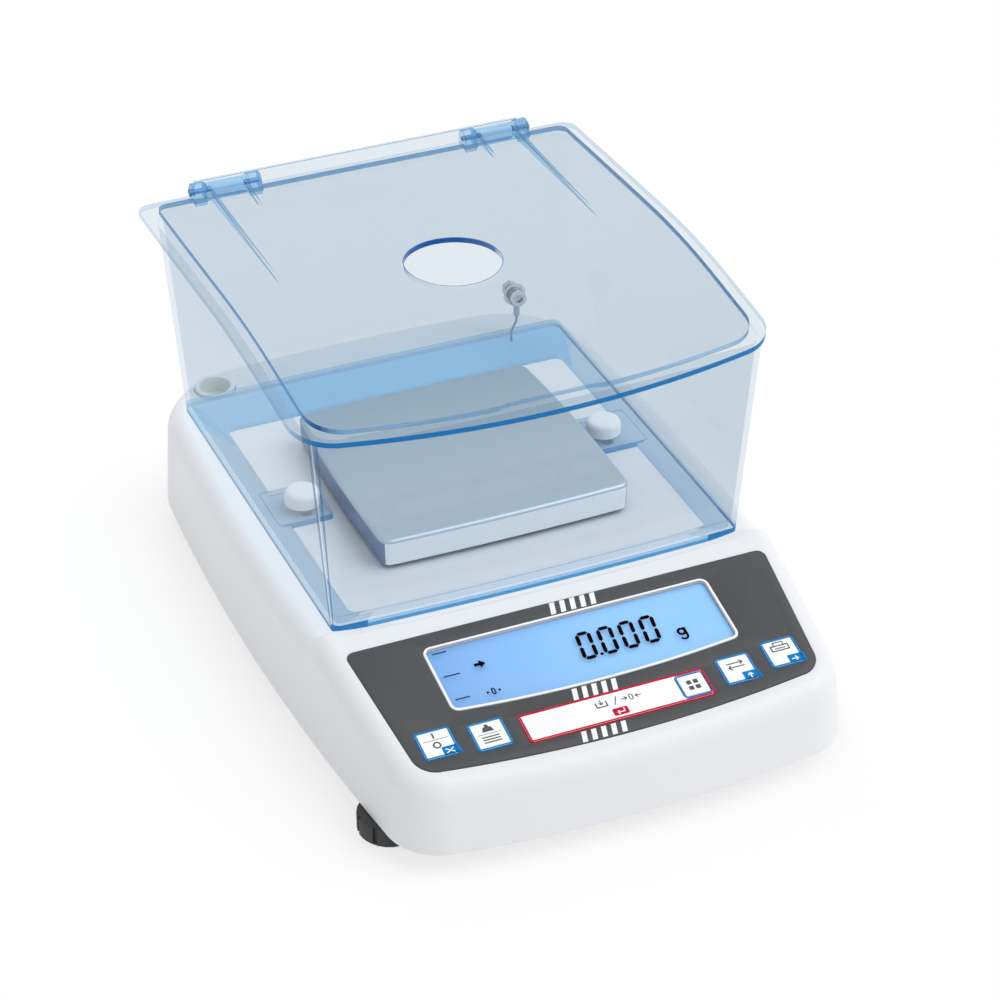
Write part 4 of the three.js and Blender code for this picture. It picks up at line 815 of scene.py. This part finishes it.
first_digit, digit_wide, digit_high, digit_foot, digit_pitch, bar, space = (
    -2.1, 5.3, 13.2, -33.4, 9.6, 1.75, 0.18)
shapes = []
for number in range(4):
    x0 = first_digit + digit_pitch * number
    x1, y0, y1, middle = x0 + digit_wide, digit_foot, digit_foot + digit_high, digit_foot + digit_high / 2
    for bar_ends in ((x0 + space, y0, x1 - space, y0), (x0 + space, y1, x1 - space, y1),
                     (x0, y0 + space, x0, middle - space), (x1, y0 + space, x1, middle - space),
                     (x0, middle + space, x0, y1 - space), (x1, middle + space, x1, y1 - space)):
        shapes.append(leaning(segment(*bar_ends, bar), digit_foot))
shapes.append(circle(5.5, -33.1, 0.75, 16))
# The unit sign: a ring with a tail
shapes += arc(42.3, -32.2, 1.5, 0, 180, 1.15, 14) + arc(42.3, -32.2, 1.5, 180, 360, 1.15, 14)
shapes += thick_line([(44.0, -30.6), (44.0, -34.9)], 1.15) + arc(42.45, -34.8, 1.6, 200, 355, 1.0, 12)
# The arrow and the zero sign between two small triangles
shapes += [[(-47.4, -23.0), (-44.9, -23.0), (-44.9, -21.5), (-47.4, -21.5)],
           [(-45.0, -24.4), (-42.4, -22.25), (-45.0, -20.1)]]
y = -37.6
shapes += [[(-48.1, y + 0.8), (-48.1, y - 0.8), (-46.8, y)], [(-42.1, y - 0.8), (-42.1, y + 0.8), (-43.4, y)]]
for x in (-45.7, -44.5):
    shapes += thick_line([(x, y - 1.05), (x, y + 1.05)], 0.6)
for rise in (-1.45, 1.45):
    shapes += thick_line([(-45.5, y + rise), (-44.7, y + rise)], 0.6)
ticks = []
for y, end in ((-11.5, -55.7), (-24.3, -54.7), (-37.1, -55.5)):
    ticks += thick_line([(-61.6, y), (end, y)], 0.65)
for name, signs, material in (("display_digits", shapes, black_ink), ("display_ticks", ticks, tick_ink)):
    printed(name, signs, 0.28, material, "housing", "screen_blue").visible_shadow = False

# Keys
# Six caps of white ABS with a flange that keeps them under the deck. Each has a line of blue or red at
# its edge and a plain sign for what it does.
key_abs = moulded("key_white_abs", "#fbfbfb", 0.4, grain=0.4, relief=0.03, unevenness=0.01)
key_top = 0.7
from_deck = deck_place.inverted()
for name, body in (*(key[:2] for key in square_keys), ("key_tare", "tare_key"), ("key_mode", "mode_key")):
    cap = softened(copied(name), 0.12)
    for material in (key_abs, red_ink if name == "key_tare" else blue_ink, blue_ink):
        cap.data.materials.append(material)
    for face in cap.data.polygons:
        places = [from_deck @ cap.data.vertices[i].co / MM for i in face.vertices]
        if max(p.z for p in places) > 0.5 and min(p.z for p in places) < key_top - 0.05:
            by_mode = abs(places[0].x - mode_x) < 6.4 and abs(places[0].y + tare_down) < 6.4
            face.material_index = 2 if by_mode else 1
    fitted(cap, body, "key_white", name)
for name, body, x, down in square_keys:
    key_frame(name + "_edge", (x, down, key_half, key_tall), -0.1, -0.85, key_top, blue_ink, body,
              "key_white")
for name, key_place, outer, inner, material, body in (
        ("key_tare_edge", tare_place, -0.1, -0.9, red_ink, "tare_key"),
        ("key_mode_ring", mode_place, 0.85, 0.4, blue_ink, "tare_key"),
        ("key_mode_edge", mode_place, -0.1, -0.35, blue_ink, "mode_key")):
    key_frame(name, key_place, outer, inner, key_top, material, body, "key_white")


def key_sign(name, body, shapes, material=grey_ink):
    """A printed sign on a key's cap"""
    printed(name, shapes, key_top, material, body, "key_white")


def tab_sign(name, body, shapes):
    """A white sign printed over a key's coloured tab"""
    printed(name, shapes, key_top + ink, white_ink, body, "key_white")


def corner_tab(name, body, x, y):
    """A blue tab at a key's lower right corner, which goes on a little way on the panel beside the key"""
    key_sign(name, body, [rounded_box(x + 0.7, x + 7.3, y - 7.0, y - 2.5, 0.6, 4)], blue_ink)
    printed(name + "_beside", [rounded_box(x + 7.52, x + 8.5, y - 7.1, y - 2.5, 0.4, 4)], panel_top,
            blue_ink, "housing", "panel_grey")


# On and off: a stroke over a ring, with a line between; a blue tab at the lower right corner
x, y = square_keys[0][2], -square_keys[0][3]
key_sign("sign_on_off", "on_off_key", thick_line([(x - 0.3, y + 2.9), (x - 0.3, y + 5.3)], 0.75)
         + thick_line([(x - 5.2, y + 1.9), (x + 5.2, y + 1.9)], 0.25)
         + arc(x - 0.3, y - 0.9, 1.4, 0, 180, 0.7) + arc(x - 0.3, y - 0.9, 1.4, 180, 360, 0.7))
corner_tab("tab_on_off", "on_off_key", x, y)
tab_sign("sign_back", "on_off_key", thick_line([(x + 2.2, y - 3.9), (x + 5.4, y - 6.0)], 0.5)
         + thick_line([(x + 2.2, y - 6.0), (x + 5.4, y - 3.9)], 0.5))
# Menu: a weight over three lines, with a line between
x, y = square_keys[1][2], -square_keys[1][3]
weight = [(x - 2.6, y + 1.6), (x + 2.6, y + 1.6), (x + 1.7, y + 4.0), (x - 1.7, y + 4.0)]
lines = thick_line([(x - 4.9, y + 0.5), (x + 4.9, y + 0.5)], 0.25)
for drop in (1.1, 2.45, 3.8):
    lines += thick_line([(x - 3.6, y - drop), (x + 3.6, y - drop)], 0.6)
key_sign("sign_menu", "menu_key", [weight, circle(x, y + 4.5, 0.9, 20), *lines])
# Unit: two arrows that change places, and a tab with an arrow up
x, y = square_keys[2][2], -square_keys[2][3]
key_sign("sign_unit", "unit_key", arrow(x - 3.6, y + 3.1, x + 3.4, y + 3.1, 0.55, 1.1)
         + arrow(x + 3.6, y + 1.0, x - 3.4, y + 1.0, 0.55, 1.1))
corner_tab("tab_unit", "unit_key", x, y)
tab_sign("sign_up", "unit_key", arrow(x + 3.9, y - 6.2, x + 3.9, y - 3.7, 0.55, 1.0))
# Print: a sheet that comes out of a slot, and a tab with an arrow to the right
x, y = square_keys[3][2], -square_keys[3][3]
key_sign("sign_print", "print_key", thick_line([(x - 3.9, y + 1.0), (x + 3.9, y + 1.0), (x + 3.9, y + 3.6),
                                                (x - 3.9, y + 3.6), (x - 3.9, y + 1.0)], 0.6)
         + thick_line([(x - 2.2, y + 3.6), (x - 2.2, y + 5.4), (x + 2.2, y + 5.4), (x + 2.2, y + 3.6)], 0.5)
         + thick_line([(x - 2.2, y + 2.2), (x + 2.2, y + 2.2)], 0.5))
corner_tab("tab_print", "print_key", x, y)
tab_sign("sign_right", "print_key", arrow(x + 2.3, y - 4.9, x + 5.1, y - 4.9, 0.55, 1.0))
# Tare: a dish with an arrow down into it, a slash, and a zero between two arrows; a red tab below
y = -tare_down
dish = thick_line([(-8.6, y + 3.2), (-8.6, y + 0.8), (-4.0, y + 0.8), (-4.0, y + 3.2)], 0.6)
zero = []
for x in (6.3, 7.7):
    zero += thick_line([(x, y + 1.3), (x, y + 3.1)], 0.5)
for rise in (0.9, 3.5):
    zero += thick_line([(6.6, y + rise), (7.4, y + rise)], 0.5)
key_sign("sign_tare", "tare_key", dish + arrow(-6.3, y + 4.2, -6.3, y + 2.0, 0.5, 0.9)
         + thick_line([(-0.9, y + 0.4), (0.9, y + 4.2)], 0.45)
         + arrow(2.7, y + 2.2, 5.0, y + 2.2, 0.45, 0.9)
         + arrow(11.3, y + 2.2, 9.0, y + 2.2, 0.45, 0.9) + zero)
key_sign("tab_tare", "tare_key", [rounded_box(-3.4, 3.4, y - 5.4, y - 1.6, 0.7, 4)], red_ink)
tab_sign("sign_enter", "tare_key", thick_line([(1.7, y - 2.3), (1.7, y - 3.9)], 0.5)
         + arrow(1.7, y - 3.9, -1.6, y - 3.9, 0.5, 0.8))
# Mode: four small squares
key_sign("sign_mode", "mode_key", [
    rounded_box(mode_x + u - 1.05, mode_x + u + 1.05, y + v - 1.05, y + v + 1.05, 0.2, 2)
    for u in (-1.5, 1.5) for v in (-1.5, 1.5)])

# Spirit level
# A round level stands in the housing behind the shield: a white cup, a clear vial of liquid pressed
# into it, and the bubble under the vial's roof.
# Vial acrylic over level liquid: clear, with a trace of yellow green
vial_acrylic = clear_window("vial_acrylic", "#fdfefb", 1.45, 0.5)
bubble_air = clear_window("bubble_air", "#fefffd", 1.3, 0.5)
for node, slot, material, edge in (
        ("level_case", "white_plastic", white_abs, 0.5), ("level_vial", "vial_green", vial_acrylic, 0.3),
        ("level_bubble", "window_clear", bubble_air, 0.3)):
    part = copied(node)
    part.data.materials.append(material)
    fitted(softened(part, edge), "housing", slot, node)

# Draft shield
# One moulding of clear blue acrylic: four drafted walls on a foot frame, a crowned rim round the top, a
# lip and four hinge cheeks at the rear. Its edges gather light and look deep blue.
foot, frame_top, step_top, crest_y, crest_z, blend = 55.3, 57.3, 59, 16, 161, 32


def rim_height(y):
    """Height of the rim's upper face: two straight falls from a rounded crest"""
    ahead = y - crest_y
    if ahead >= blend:
        return crest_z - 0.0445 * ahead
    if ahead <= -blend:
        return crest_z + 0.103 * ahead
    return crest_z + 0.02925 * ahead - 0.07375 * (ahead ** 2 + blend ** 2) / (2 * blend)


def for_the_eye(tree, surface):
    """The surface as the camera sees it; to light and reflections the acrylic is almost clear"""
    seen = add(tree, "ShaderNodeLightPath").outputs["Is Camera Ray"]
    clear = add(tree, "ShaderNodeBsdfTransparent", {"Color": linear("#fafdff")})
    either = add(tree, "ShaderNodeMixShader", {0: seen, 1: clear.outputs[0], 2: surface.outputs[0]})
    add(tree, "ShaderNodeOutputMaterial", {"Surface": either.outputs[0]})


def with_gloss(tree, surface, strength, roughness=0.05):
    """The surface under a share of white reflection that grows towards a flat view, outside only"""
    side = add(tree, "ShaderNodeNewGeometry")
    gloss = add(tree, "ShaderNodeBsdfGlossy", {"Color": linear("#ffffff"), "Roughness": roughness,
                                               "Normal": side.outputs["True Normal"]})
    share = add(tree, "ShaderNodeFresnel", {"IOR": 1.49, "Normal": side.outputs["True Normal"]})
    front = add(tree, "ShaderNodeMapRange", {0: side.outputs["Backfacing"], 3: strength, 4: 0.0})
    share = add(tree, "ShaderNodeMath", {0: share.outputs[0], 1: front.outputs[0]}, operation="MULTIPLY")
    return add(tree, "ShaderNodeMixShader", {
        0: share.outputs[0], 1: surface.outputs[0], 2: gloss.outputs[0]})


def clear_acrylic(name, tint, glow, dense, gloss=0.4):
    """Blue acrylic: what lies behind shows through its tint; dense tells how much blue it gives itself"""
    material, tree = new_material(name)
    place = add(tree, "ShaderNodeTexCoord").outputs["Object"]
    cloud = add(tree, "ShaderNodeTexNoise", {"Vector": place, "Scale": 1 / (30 * MM), "Detail": 2.0})
    through = add(tree, "ShaderNodeBsdfTransparent", {"Color": linear(tint)})
    body = add(tree, "ShaderNodeBsdfPrincipled", {"Base Color": linear(glow), "Roughness": 0.3,
                                                  "Specular IOR Level": 0.2})
    depth = add(tree, "ShaderNodeMapRange", {0: cloud.outputs[0], 3: dense * 0.96, 4: dense * 1.04})
    mixed = add(tree, "ShaderNodeMixShader", {
        0: depth.outputs[0], 1: through.outputs[0], 2: body.outputs[0]})
    for_the_eye(tree, with_gloss(tree, mixed, gloss))
    return material


def edge_glow(name, stops, tint="#dfeaf4"):
    """Light gathered in an edge: (direction from -1 front to 1 rear, colour, density) stops"""
    material, tree = new_material(name)
    seen = add(tree, "ShaderNodeSeparateXYZ", {0: add(tree, "ShaderNodeTexCoord").outputs["Normal"]})
    behind = add(tree, "ShaderNodeNewGeometry").outputs["Backfacing"]
    turn = add(tree, "ShaderNodeMapRange", {0: behind, 3: 1.0, 4: -1.0})
    rearward = add(tree, "ShaderNodeMath", {0: seen.outputs["Y"], 1: turn.outputs[0]}, operation="MULTIPLY")
    place = add(tree, "ShaderNodeMapRange", {0: rearward.outputs[0], 1: -1.0, 2: 1.0})
    ramp = add(tree, "ShaderNodeValToRGB", {0: place.outputs[0]})
    points = ramp.color_ramp.elements
    while len(points) < len(stops):
        points.new(0.5)
    for point, (where, colour, density) in zip(points, stops):
        point.position = (where + 1) / 2
        point.color = [*linear(colour)[:3], density]
    pale = add(tree, "ShaderNodeBsdfTransparent", {"Color": linear(tint)})
    body = add(tree, "ShaderNodeBsdfPrincipled", {"Base Color": ramp.outputs[0], "Roughness": 0.3,
                                                  "Specular IOR Level": 0.1})
    mixed = add(tree, "ShaderNodeMixShader", {0: ramp.outputs[1], 1: pale.outputs[0], 2: body.outputs[0]})
    for_the_eye(tree, mixed)
    return material


# Cast acrylic, clear light blue, and the same where it is thick or gathers light, clearer on the foot frame's
# front bar; a white copy is a painted highlight on a corner of the walls
pale_acrylic = clear_acrylic("pale_blue_acrylic", "#eff3f6", "#cfe0ee", 0.01)
rim_acrylic = clear_acrylic("rim_clear_acrylic", "#eff3f6", "#dbe8f2", 0.01)
line_acrylic = clear_acrylic("edge_line_acrylic", "#a9c3d8", "#4a8cbf", 0.35)
frame_acrylic = clear_acrylic("frame_blue_acrylic", "#e8eef3", "#aecbe0", 0.18)
rear_acrylic = clear_acrylic("rear_frame_acrylic", "#d6e8f3", "#93c9ec", 0.3)
bar_acrylic = clear_acrylic("front_bar_acrylic", "#fcfdff", "#dbe8f2", 0.01)
step_acrylic = clear_acrylic("foot_step_acrylic", "#dfeaf4", "#5fb2ee", 0.5)
tab_acrylic = clear_acrylic("tab_edge_acrylic", "#b5d2e8", "#5a9cd0", 0.5)
# White and partly opaque: a painted highlight on the front left corner of the walls
painted_corner_highlight = clear_acrylic("corner_painted_highlight_acrylic", "#ffffff", "#ffffff", 0.35)
rib_acrylic = clear_acrylic("rib_blue_acrylic", "#c9e0ee", "#6fb0dc", 0.35)
barrel_acrylic = clear_acrylic("barrel_blue_acrylic", "#cfe4f2", "#a5d0ee", 0.6)
rim_glow = edge_glow("rim_edge_acrylic", (
    (-1.0, "#0b72b4", 0.96), (-0.75, "#0b72b4", 0.96), (-0.3, "#5f9ac4", 0.3), (0.0, "#b5ccda", 0.12),
    (1.0, "#b5ccda", 0.12)))
lid_glow = edge_glow("lid_edge_acrylic", (
    (-1.0, "#7ab0d6", 0.35), (-0.95, "#5c9dce", 0.5), (-0.6, "#085490", 0.97), (-0.04, "#3580b8", 0.92),
    (0.2, "#6499c4", 0.85), (1.0, "#6499c4", 0.85)))
hole_glow = edge_glow("hole_edge_acrylic", (
    (-1.0, "#06509c", 0.98), (-0.2, "#1564aa", 0.9), (0.15, "#b9cad9", 0.3), (1.0, "#e6edf3", 0.05)),
    "#f2f6f9")
foot_glow = edge_glow("foot_edge_acrylic", (
    (-1.0, "#4098d0", 0.93), (-0.98, "#4098d0", 0.93), (-0.7, "#0f78be", 0.95), (-0.1, "#3f88c0", 0.75),
    (1.0, "#78aeda", 0.5)))
corner_glow = edge_glow("foot_corner_acrylic", ((-1.0, "#0f78be", 0.95), (1.0, "#0f78be", 0.8)))
shield_finishes = (pale_acrylic, line_acrylic, frame_acrylic, rim_glow, rib_acrylic, foot_glow, corner_glow,
                   rim_acrylic, rear_acrylic, tab_acrylic, painted_corner_highlight, bar_acrylic, step_acrylic)
lid_finishes = (pale_acrylic, line_acrylic, lid_glow, hole_glow, rib_acrylic, barrel_acrylic)


def lined(piece, finishes, radius=0.28, angle=35):
    """The piece in its finishes, with narrow chamfers that gather light at its edges"""
    for material in finishes:
        piece.data.materials.append(material)
    return modified(piece, "BEVEL", width=radius * MM, segments=1, limit_method="ANGLE",
                    angle_limit=math.radians(angle), material=1, use_clamp_overlap=True)


def united(piece, *others):
    """The piece and the others as one solid"""
    for other in others:
        modified(piece, "BOOLEAN", operation="UNION", object=other, solver="EXACT")
        bpy.data.objects.remove(other)
    return piece


def across_plate(name, outline, x0, x1):
    """A plate over an outline of (y, z) points, between two places across the balance"""
    piece = flat_plate(name, outline, x0, x1)
    piece.data.transform(Matrix(((0, 0, 1, 0), (1, 0, 0, 0), (0, 1, 0, 0), (0, 0, 0, 1))))
    return piece


wall_form = (93.7, 34.9, 40000, (-62.5, 1984, 4), (132.3, 6000, 4))
opening_form = (82.9, 25.85, 40000, (-52, 40000, 4), (103.7, 40000, 4))
rim_form = (106.6, 35, 12000, (-76.6, 430, 20), (146.6, 9000, 7))
shield_steps, wall_lean, wall_thick, rim_thick = (24, 12, 60, 12, 24), 0.0755, 2.4, 2.4


def wall_ring(inset, height):
    """The walls' outline at one inset and height; the walls lean out as they rise"""
    at_foot = bowed_outline(*wall_form, inset, shield_steps)
    wider = bowed_outline(*wall_form, inset - 1, shield_steps)
    ring = []
    for (x, y), (u, v) in zip(at_foot, wider):
        z = height(y) if callable(height) else height
        out = wall_lean * (z - foot)
        ring.append((x + (u - x) * out, y + (v - y) * out, z))
    return ring


rim_outline = bowed_outline(*rim_form, 0, shield_steps)
opening = bowed_outline(*opening_form, 0, shield_steps)
# Inside the front wall a thicker band runs along the foot
band_thick = 3.6
band_low, band_top = wall_ring(band_thick, frame_top), wall_ring(band_thick, 61.4)
inner_low, inner_top = wall_ring(wall_thick, frame_top), wall_ring(wall_thick, 61.2)
front_share = [smooth_step((-54 - y) / 4) for x, y, z in inner_top]


def between(ring, other):
    """One ring at the front and the other everywhere else"""
    return [tuple(p + (q - p) * share for p, q in zip(a, b)) for a, b, share in zip(ring, other, front_share)]


rings = [
    wall_ring(0, foot), wall_ring(0, frame_top), wall_ring(0, step_top),
    wall_ring(0, lambda y: rim_height(y) - rim_thick),
    [(x, y, rim_height(y) - rim_thick) for x, y in rim_outline],
    [(x, y, rim_height(y)) for x, y in rim_outline],
    wall_ring(wall_thick, rim_height), wall_ring(wall_thick, 61.6),
    between(inner_top, band_top), between(inner_low, band_low),
    [(x, y, frame_top) for x, y in opening], [(x, y, foot) for x, y in opening]]
shield = drawn_skin("draft_shield_moulding", rings)
work_on(shield)
bpy.ops.object.mode_set(mode="EDIT")
bpy.ops.mesh.select_all(action="SELECT")
bpy.ops.mesh.region_to_loop()
bpy.ops.mesh.bridge_edge_loops()
lined(faced_outwards(shield), shield_finishes)

hinge_x, hinge_y, hinge_z, half_hinge, cheek_wide = 65.2, 140.9, 159.64, 10, 6
cheek_form = ([(hinge_y + 4.2 * math.cos(math.pi * i / 16), hinge_z + 4.2 * math.sin(math.pi * i / 16))
               for i in range(17)]
              + [(hinge_y - 4.2, rim_height(hinge_y) - 1.2), (hinge_y + 4.2, rim_height(hinge_y) - 1.2)])
for side in (-1, 1):
    for x in (side * hinge_x + half_hinge, side * hinge_x - half_hinge - cheek_wide):
        united(shield, lined(across_plate("cheek", cheek_form, x, x + cheek_wide), shield_finishes))
    united(shield, lined(flat_plate("knob_tab", rounded_box(*sorted((side * 62.9, side * 88.3)), 19, 47, 2),
                                    foot + 0.02, 58.3), shield_finishes))
lip_front, lip_rear, lip_low, lip_top, lip_half = 144.7, 146.3, rim_height(146.6) - 1.6, 162.44, 78.2
lip_form = [(lip_front, lip_low), (lip_rear, lip_low), (lip_rear, lip_top), (lip_front, lip_top)]
united(shield, lined(across_plate("lip", lip_form, -lip_half, lip_half), shield_finishes))


def nearness(form):
    """A function that tells how far a place is from a bowed outline, in millimetres"""
    places = finder([(x, y, 0) for x, y in bowed_outline(*form, 0, (90, 12, 200, 24, 90))])
    return lambda x, y: places.find((x, y, 0))[2]


# Each face takes its finish by its place and direction; the numbers count through shield_finishes
rim_near = nearness(rim_form)
corner_from = 77
for face in shield.data.polygons:
    x, y, z = face.center / MM
    normal = face.normal
    outer = normal.x * x + normal.y * (y - 35) > 0
    if z < frame_top + 0.1 and outer and abs(normal.z) < 0.5 and (abs(x) > 92 or y < -58 or y > 130):
        face.material_index = 6 if y < -40 and abs(x) > corner_from else 5
    elif z < step_top + 0.1 and outer and y < -57 and abs(normal.z) < 0.3:
        face.material_index = 6 if abs(x) > corner_from else 12
    elif z < 58.6 and normal.y < -0.7 and abs(x) < 82 and 10 < y < 30:
        face.material_index = 9
    elif face.material_index == 1:
        continue
    elif z < 58.6:
        face.material_index = 8 if y > 103 else 11 if y < -50 and abs(x) < 79 else 2
    elif y > 136 and z > rim_height(y) + 0.1:
        face.material_index = 4 if y < 145.2 and abs(abs(x) - hinge_x) < 16.5 else 0
    elif abs(normal.z) < 0.3 and z > 140 and rim_near(x, y) < 1.5:
        face.material_index = 3
    elif abs(normal.z) > 0.8 and z > 140:
        face.material_index = 7
    # On the front left corner of the walls, narrow faces get dark lines and a white streak: painted dark
    # lines and a painted highlight where the round corner bends the light
    elif outer and y < -50 and x < 0 and z < rim_height(y) - 2.5:
        if 0.06 < abs(normal.y) < 0.2 or 0.79 < -normal.x < 0.86:
            face.material_index = 1
        elif 0.9 < -normal.x < 0.96:
            face.material_index = 10
fitted(smoothed(shield, 30), "housing", "shield_blue", "draft_shield")

# Locking knobs
# Two white nylon knobs hold the shield: their heads stand on the tabs of its foot frame, and a quarter
# turn sets the wings at their lower ends across the slots in the housing.
# Natural nylon: white, soft gloss
white_nylon = moulded("white_nylon", "#eef0f3", 0.45, grain=0.4, relief=0.04, unevenness=0.02)
for side in ("left", "right"):
    knob = copied(f"lock_knob_{side}")
    knob.data.materials.append(white_nylon)
    fitted(smoothed(knob, 40), f"{side}_knob", "knob_white", f"lock_knob_{side}")

# Ground point
# A socket screw through the shield's rear wall holds a washer and the ring lug of a thin wire, with a
# nut behind. The wire goes down through the foot frame into the housing.
# Nickel-plated steel, bright; tinned copper, duller; polyvinyl chloride sleeve, grey blue
bright_nickel = metal("bright_nickel", "#cdd3d8", 0.16, grain=(0.5, 0.5, 0.5), unevenness=0.15)
tinned_copper = metal("tinned_copper", "#b7c1c8", 0.35, grain=(0.6, 0.6, 0.6), unevenness=0.2)
wire_sleeve = moulded("wire_sleeve", "#8fa5b3", 0.5, grain=0.3, relief=0.05, unevenness=0.05)
for node, slot, material, edge in (
        ("ground_screw", "chrome", bright_nickel, 0.4), ("ground_washer", "steel", bright_nickel, 0.3),
        ("ground_lug", "wire_grey", tinned_copper, 0.25), ("ground_nut", "steel", bright_nickel, 0.4),
        ("ground_wire", "wire_grey", wire_sleeve, 0.05)):
    part = copied(node)
    part.data.materials.append(material)
    fitted(softened(part, edge), "housing", slot, node)

# Lid and its pins
# The lid is a crowned plate of the same acrylic with a round filling hole, a shallow finger recess at
# its front and ribs to the hinge barrels. Two blued steel pins carry it in the shield's cheeks.
lid_form, lid_steps = (99.3, 35, 12000, (-71.3, 470, 17), (138.6, 9000, 5)), (40, 16, 60, 24, 36)
lid_rise, lid_thick, notch_y = 2.7, 2.4, 136.4
recess_y, recess_half, recess_run = -69.1, 27, 10
hole_y, hole_radius = 33.5, 21.2
lid_outline = [(x, y + (recess_y - y) * smooth_step((recess_half - abs(x)) / recess_run) if y < -60 else y)
               for x, y in bowed_outline(*lid_form, 0, lid_steps)]
lid = drawn_skin("shield_lid_plate", [[(x, y, rim_height(y) + lid_rise) for x, y in lid_outline]])
bpy.ops.object.mode_set(mode="EDIT")
bpy.ops.mesh.select_all(action="SELECT")
bpy.ops.object.mode_set(mode="OBJECT")
grid_closed(lid, (*lid_outline[lid_steps[0] + lid_steps[1] // 2], rim_height(138) + lid_rise),
            2 * lid_steps[0] + lid_steps[1])
faced_outwards(lid)
for vertex in lid.data.vertices:
    vertex.co.z = (rim_height(vertex.co.y / MM) + lid_rise) * MM
if lid.data.polygons[0].normal.z < 0:
    lid.data.flip_normals()
modified(lid, "SOLIDIFY", thickness=lid_thick * MM, offset=-1, use_even_offset=True)
lined(lid, lid_finishes, 0.6)
cut(lid,
    flat_plate("filling_hole", circle(0, hole_y, hole_radius, 120), 150, 170),
    *(flat_plate("notch", rounded_box(x - 0.3, x + cheek_wide + 0.3, notch_y, 150, 0.3, 2), 150, 170)
      for side in (-1, 1) for x in (side * hinge_x + half_hinge, side * hinge_x - half_hinge - cheek_wide)))


def rib(x, end_y):
    """A rib from a hinge barrel down to the plate, its foot inside the plate"""
    places = [end_y + (hinge_y - end_y) * i / 8 for i in range(9)]
    form = ([(y, rim_height(y) + 1.4) for y in places]
            + [(hinge_y, hinge_z + 3), (end_y, rim_height(end_y) + lid_rise + 0.02)])
    return lined(across_plate("rib", form, x - 1, x + 1), lid_finishes, 0.3)


barrel_radius, barrel_half, rib_out, long_rib_y, short_rib_y = 3.4, 9.7, 8.7, 44.5, 118.9
for side in (-1, 1):
    barrel = across_plate("barrel", circle(hinge_y, hinge_z, barrel_radius, 40),
                          side * hinge_x - barrel_half, side * hinge_x + barrel_half)
    united(lid, united(lined(barrel, lid_finishes), rib(side * (hinge_x + rib_out), long_rib_y),
                       rib(side * (hinge_x - rib_out), short_rib_y)))
# The numbers count through lid_finishes
lid_near = nearness(lid_form)
for face in lid.data.polygons:
    x, y, z = face.center / MM
    steep = abs(face.normal.z) < 0.3
    if math.hypot(y - hinge_y, z - hinge_z) < 3.8 and abs(abs(x) - hinge_x) < 10.5:
        face.material_index = 1 if face.material_index == 1 else 5
    elif abs(face.normal.x) > 0.95 and abs(abs(x) - hinge_x) < 10.5 and 40 < y < notch_y:
        face.material_index = 4
    elif steep and abs(math.hypot(x, y - hole_y) - hole_radius) < 1:
        face.material_index = 3
    elif (steep or face.material_index == 1) and (lid_near(x, y) < 1.5 or y < -60 or y > 136):
        face.material_index = 2
    elif face.material_index == 1 and lid_near(x, y) < 2:
        face.material_index = 2
fitted(smoothed(lid, 30), "lid", "shield_blue", "shield_lid")

# The hole's upper edge, as a fine line of gathered light
edge_line = frame_plate("filling_hole_edge", circle(0, hole_y, hole_radius + 0.35, 120),
                        circle(0, hole_y, hole_radius, 120), lid_rise + 0.01, lid_rise + 0.04)
for vertex in edge_line.data.vertices:
    vertex.co.z += rim_height(vertex.co.y / MM) * MM
edge_line.data.materials.append(line_acrylic)
fitted(edge_line, "lid", "shield_blue")
# Blued steel, ground: dark blue, with fine rings
blued_steel = metal("blued_steel", "#5a7fb4", 0.35, grain=(3, 3, 0.25))
for side in ("left", "right"):
    pin = copied(f"hinge_pin_{side}")
    pin.data.materials.append(blued_steel)
    fitted(softened(pin, 0.25), "housing", "steel", f"hinge_pin_{side}")

# Weighing pan
# A tray pressed from stainless sheet, with a round edge and a turned-down skirt. It lies loose on the
# carrier's buffers.
# Stainless steel, satin: fine marks across the pan. The skirt is painted brighter at the front, a painted
# highlight, and painted darker and blue at its sides, painted shade and a painted reflection of the shield's
# frame.
# The pan's top is painted darker and bluer towards its rear: a painted reflection
satin_steel = metal("satin_stainless_steel", "#c3ccd4", 0.5, grain=(8, 0.35, 0.35), relief=0.02,
                    unevenness=0.06, painted_reflection=(10, 84, "#a6b8c4"))
skirt_front_painted_highlight = metal("front_skirt_painted_highlight_steel", "#fafbfc", 0.5, grain=(8, 0.35, 0.35), relief=0.02, unevenness=0.04)
skirt_sides_painted_shade_and_reflection = metal("side_skirt_painted_shade_reflection_steel", "#8b9cb8", 0.42, grain=(0.35, 8, 0.35), relief=0.02, unevenness=0.06)
pan_form = (58.6, 10, 900, (-27.4, 1500, 5), (84.6, 2500, 5))
pan_low, pan_top, pan_wall, pan_edge, skirt_inset = 57.2, 69.8, 1.2, 1.6, 0.5


def pan_ring(inset, z):
    """The pan's outline at one inset and height"""
    return [(x, y, z) for x, y in bowed_outline(*pan_form, inset, (24, 8, 48, 8, 24))]


rings = [pan_ring(skirt_inset * (1 - i / 4), pan_low + (pan_top - pan_edge - pan_low) * i / 4)
         for i in range(4)]
for i in range(7):
    turn = math.pi / 2 * i / 6
    rings.append(pan_ring(pan_edge * (1 - math.cos(turn)), pan_top - pan_edge * (1 - math.sin(turn))))
pan = drawn_skin("weighing_pan_sheet", rings)
grid_closed(pan, rings[-1][28], len(rings[0]) // 4)
modified(faced_outwards(pan), "SOLIDIFY", thickness=pan_wall * MM, offset=-1, use_even_offset=True)
for material in (satin_steel, skirt_front_painted_highlight, skirt_sides_painted_shade_and_reflection):
    pan.data.materials.append(material)
# Skirt faces that face the front take the painted highlight; those that face the sides take the painted shade
# and reflection
for face in pan.data.polygons:
    if face.center.z < (pan_top - 1.5) * MM and abs(face.normal.z) < 0.5:
        face.material_index = 2 if abs(face.normal.x) > abs(face.normal.y) else 1
fitted(smoothed(pan, 30), "pan", "pan_steel", "weighing_pan")
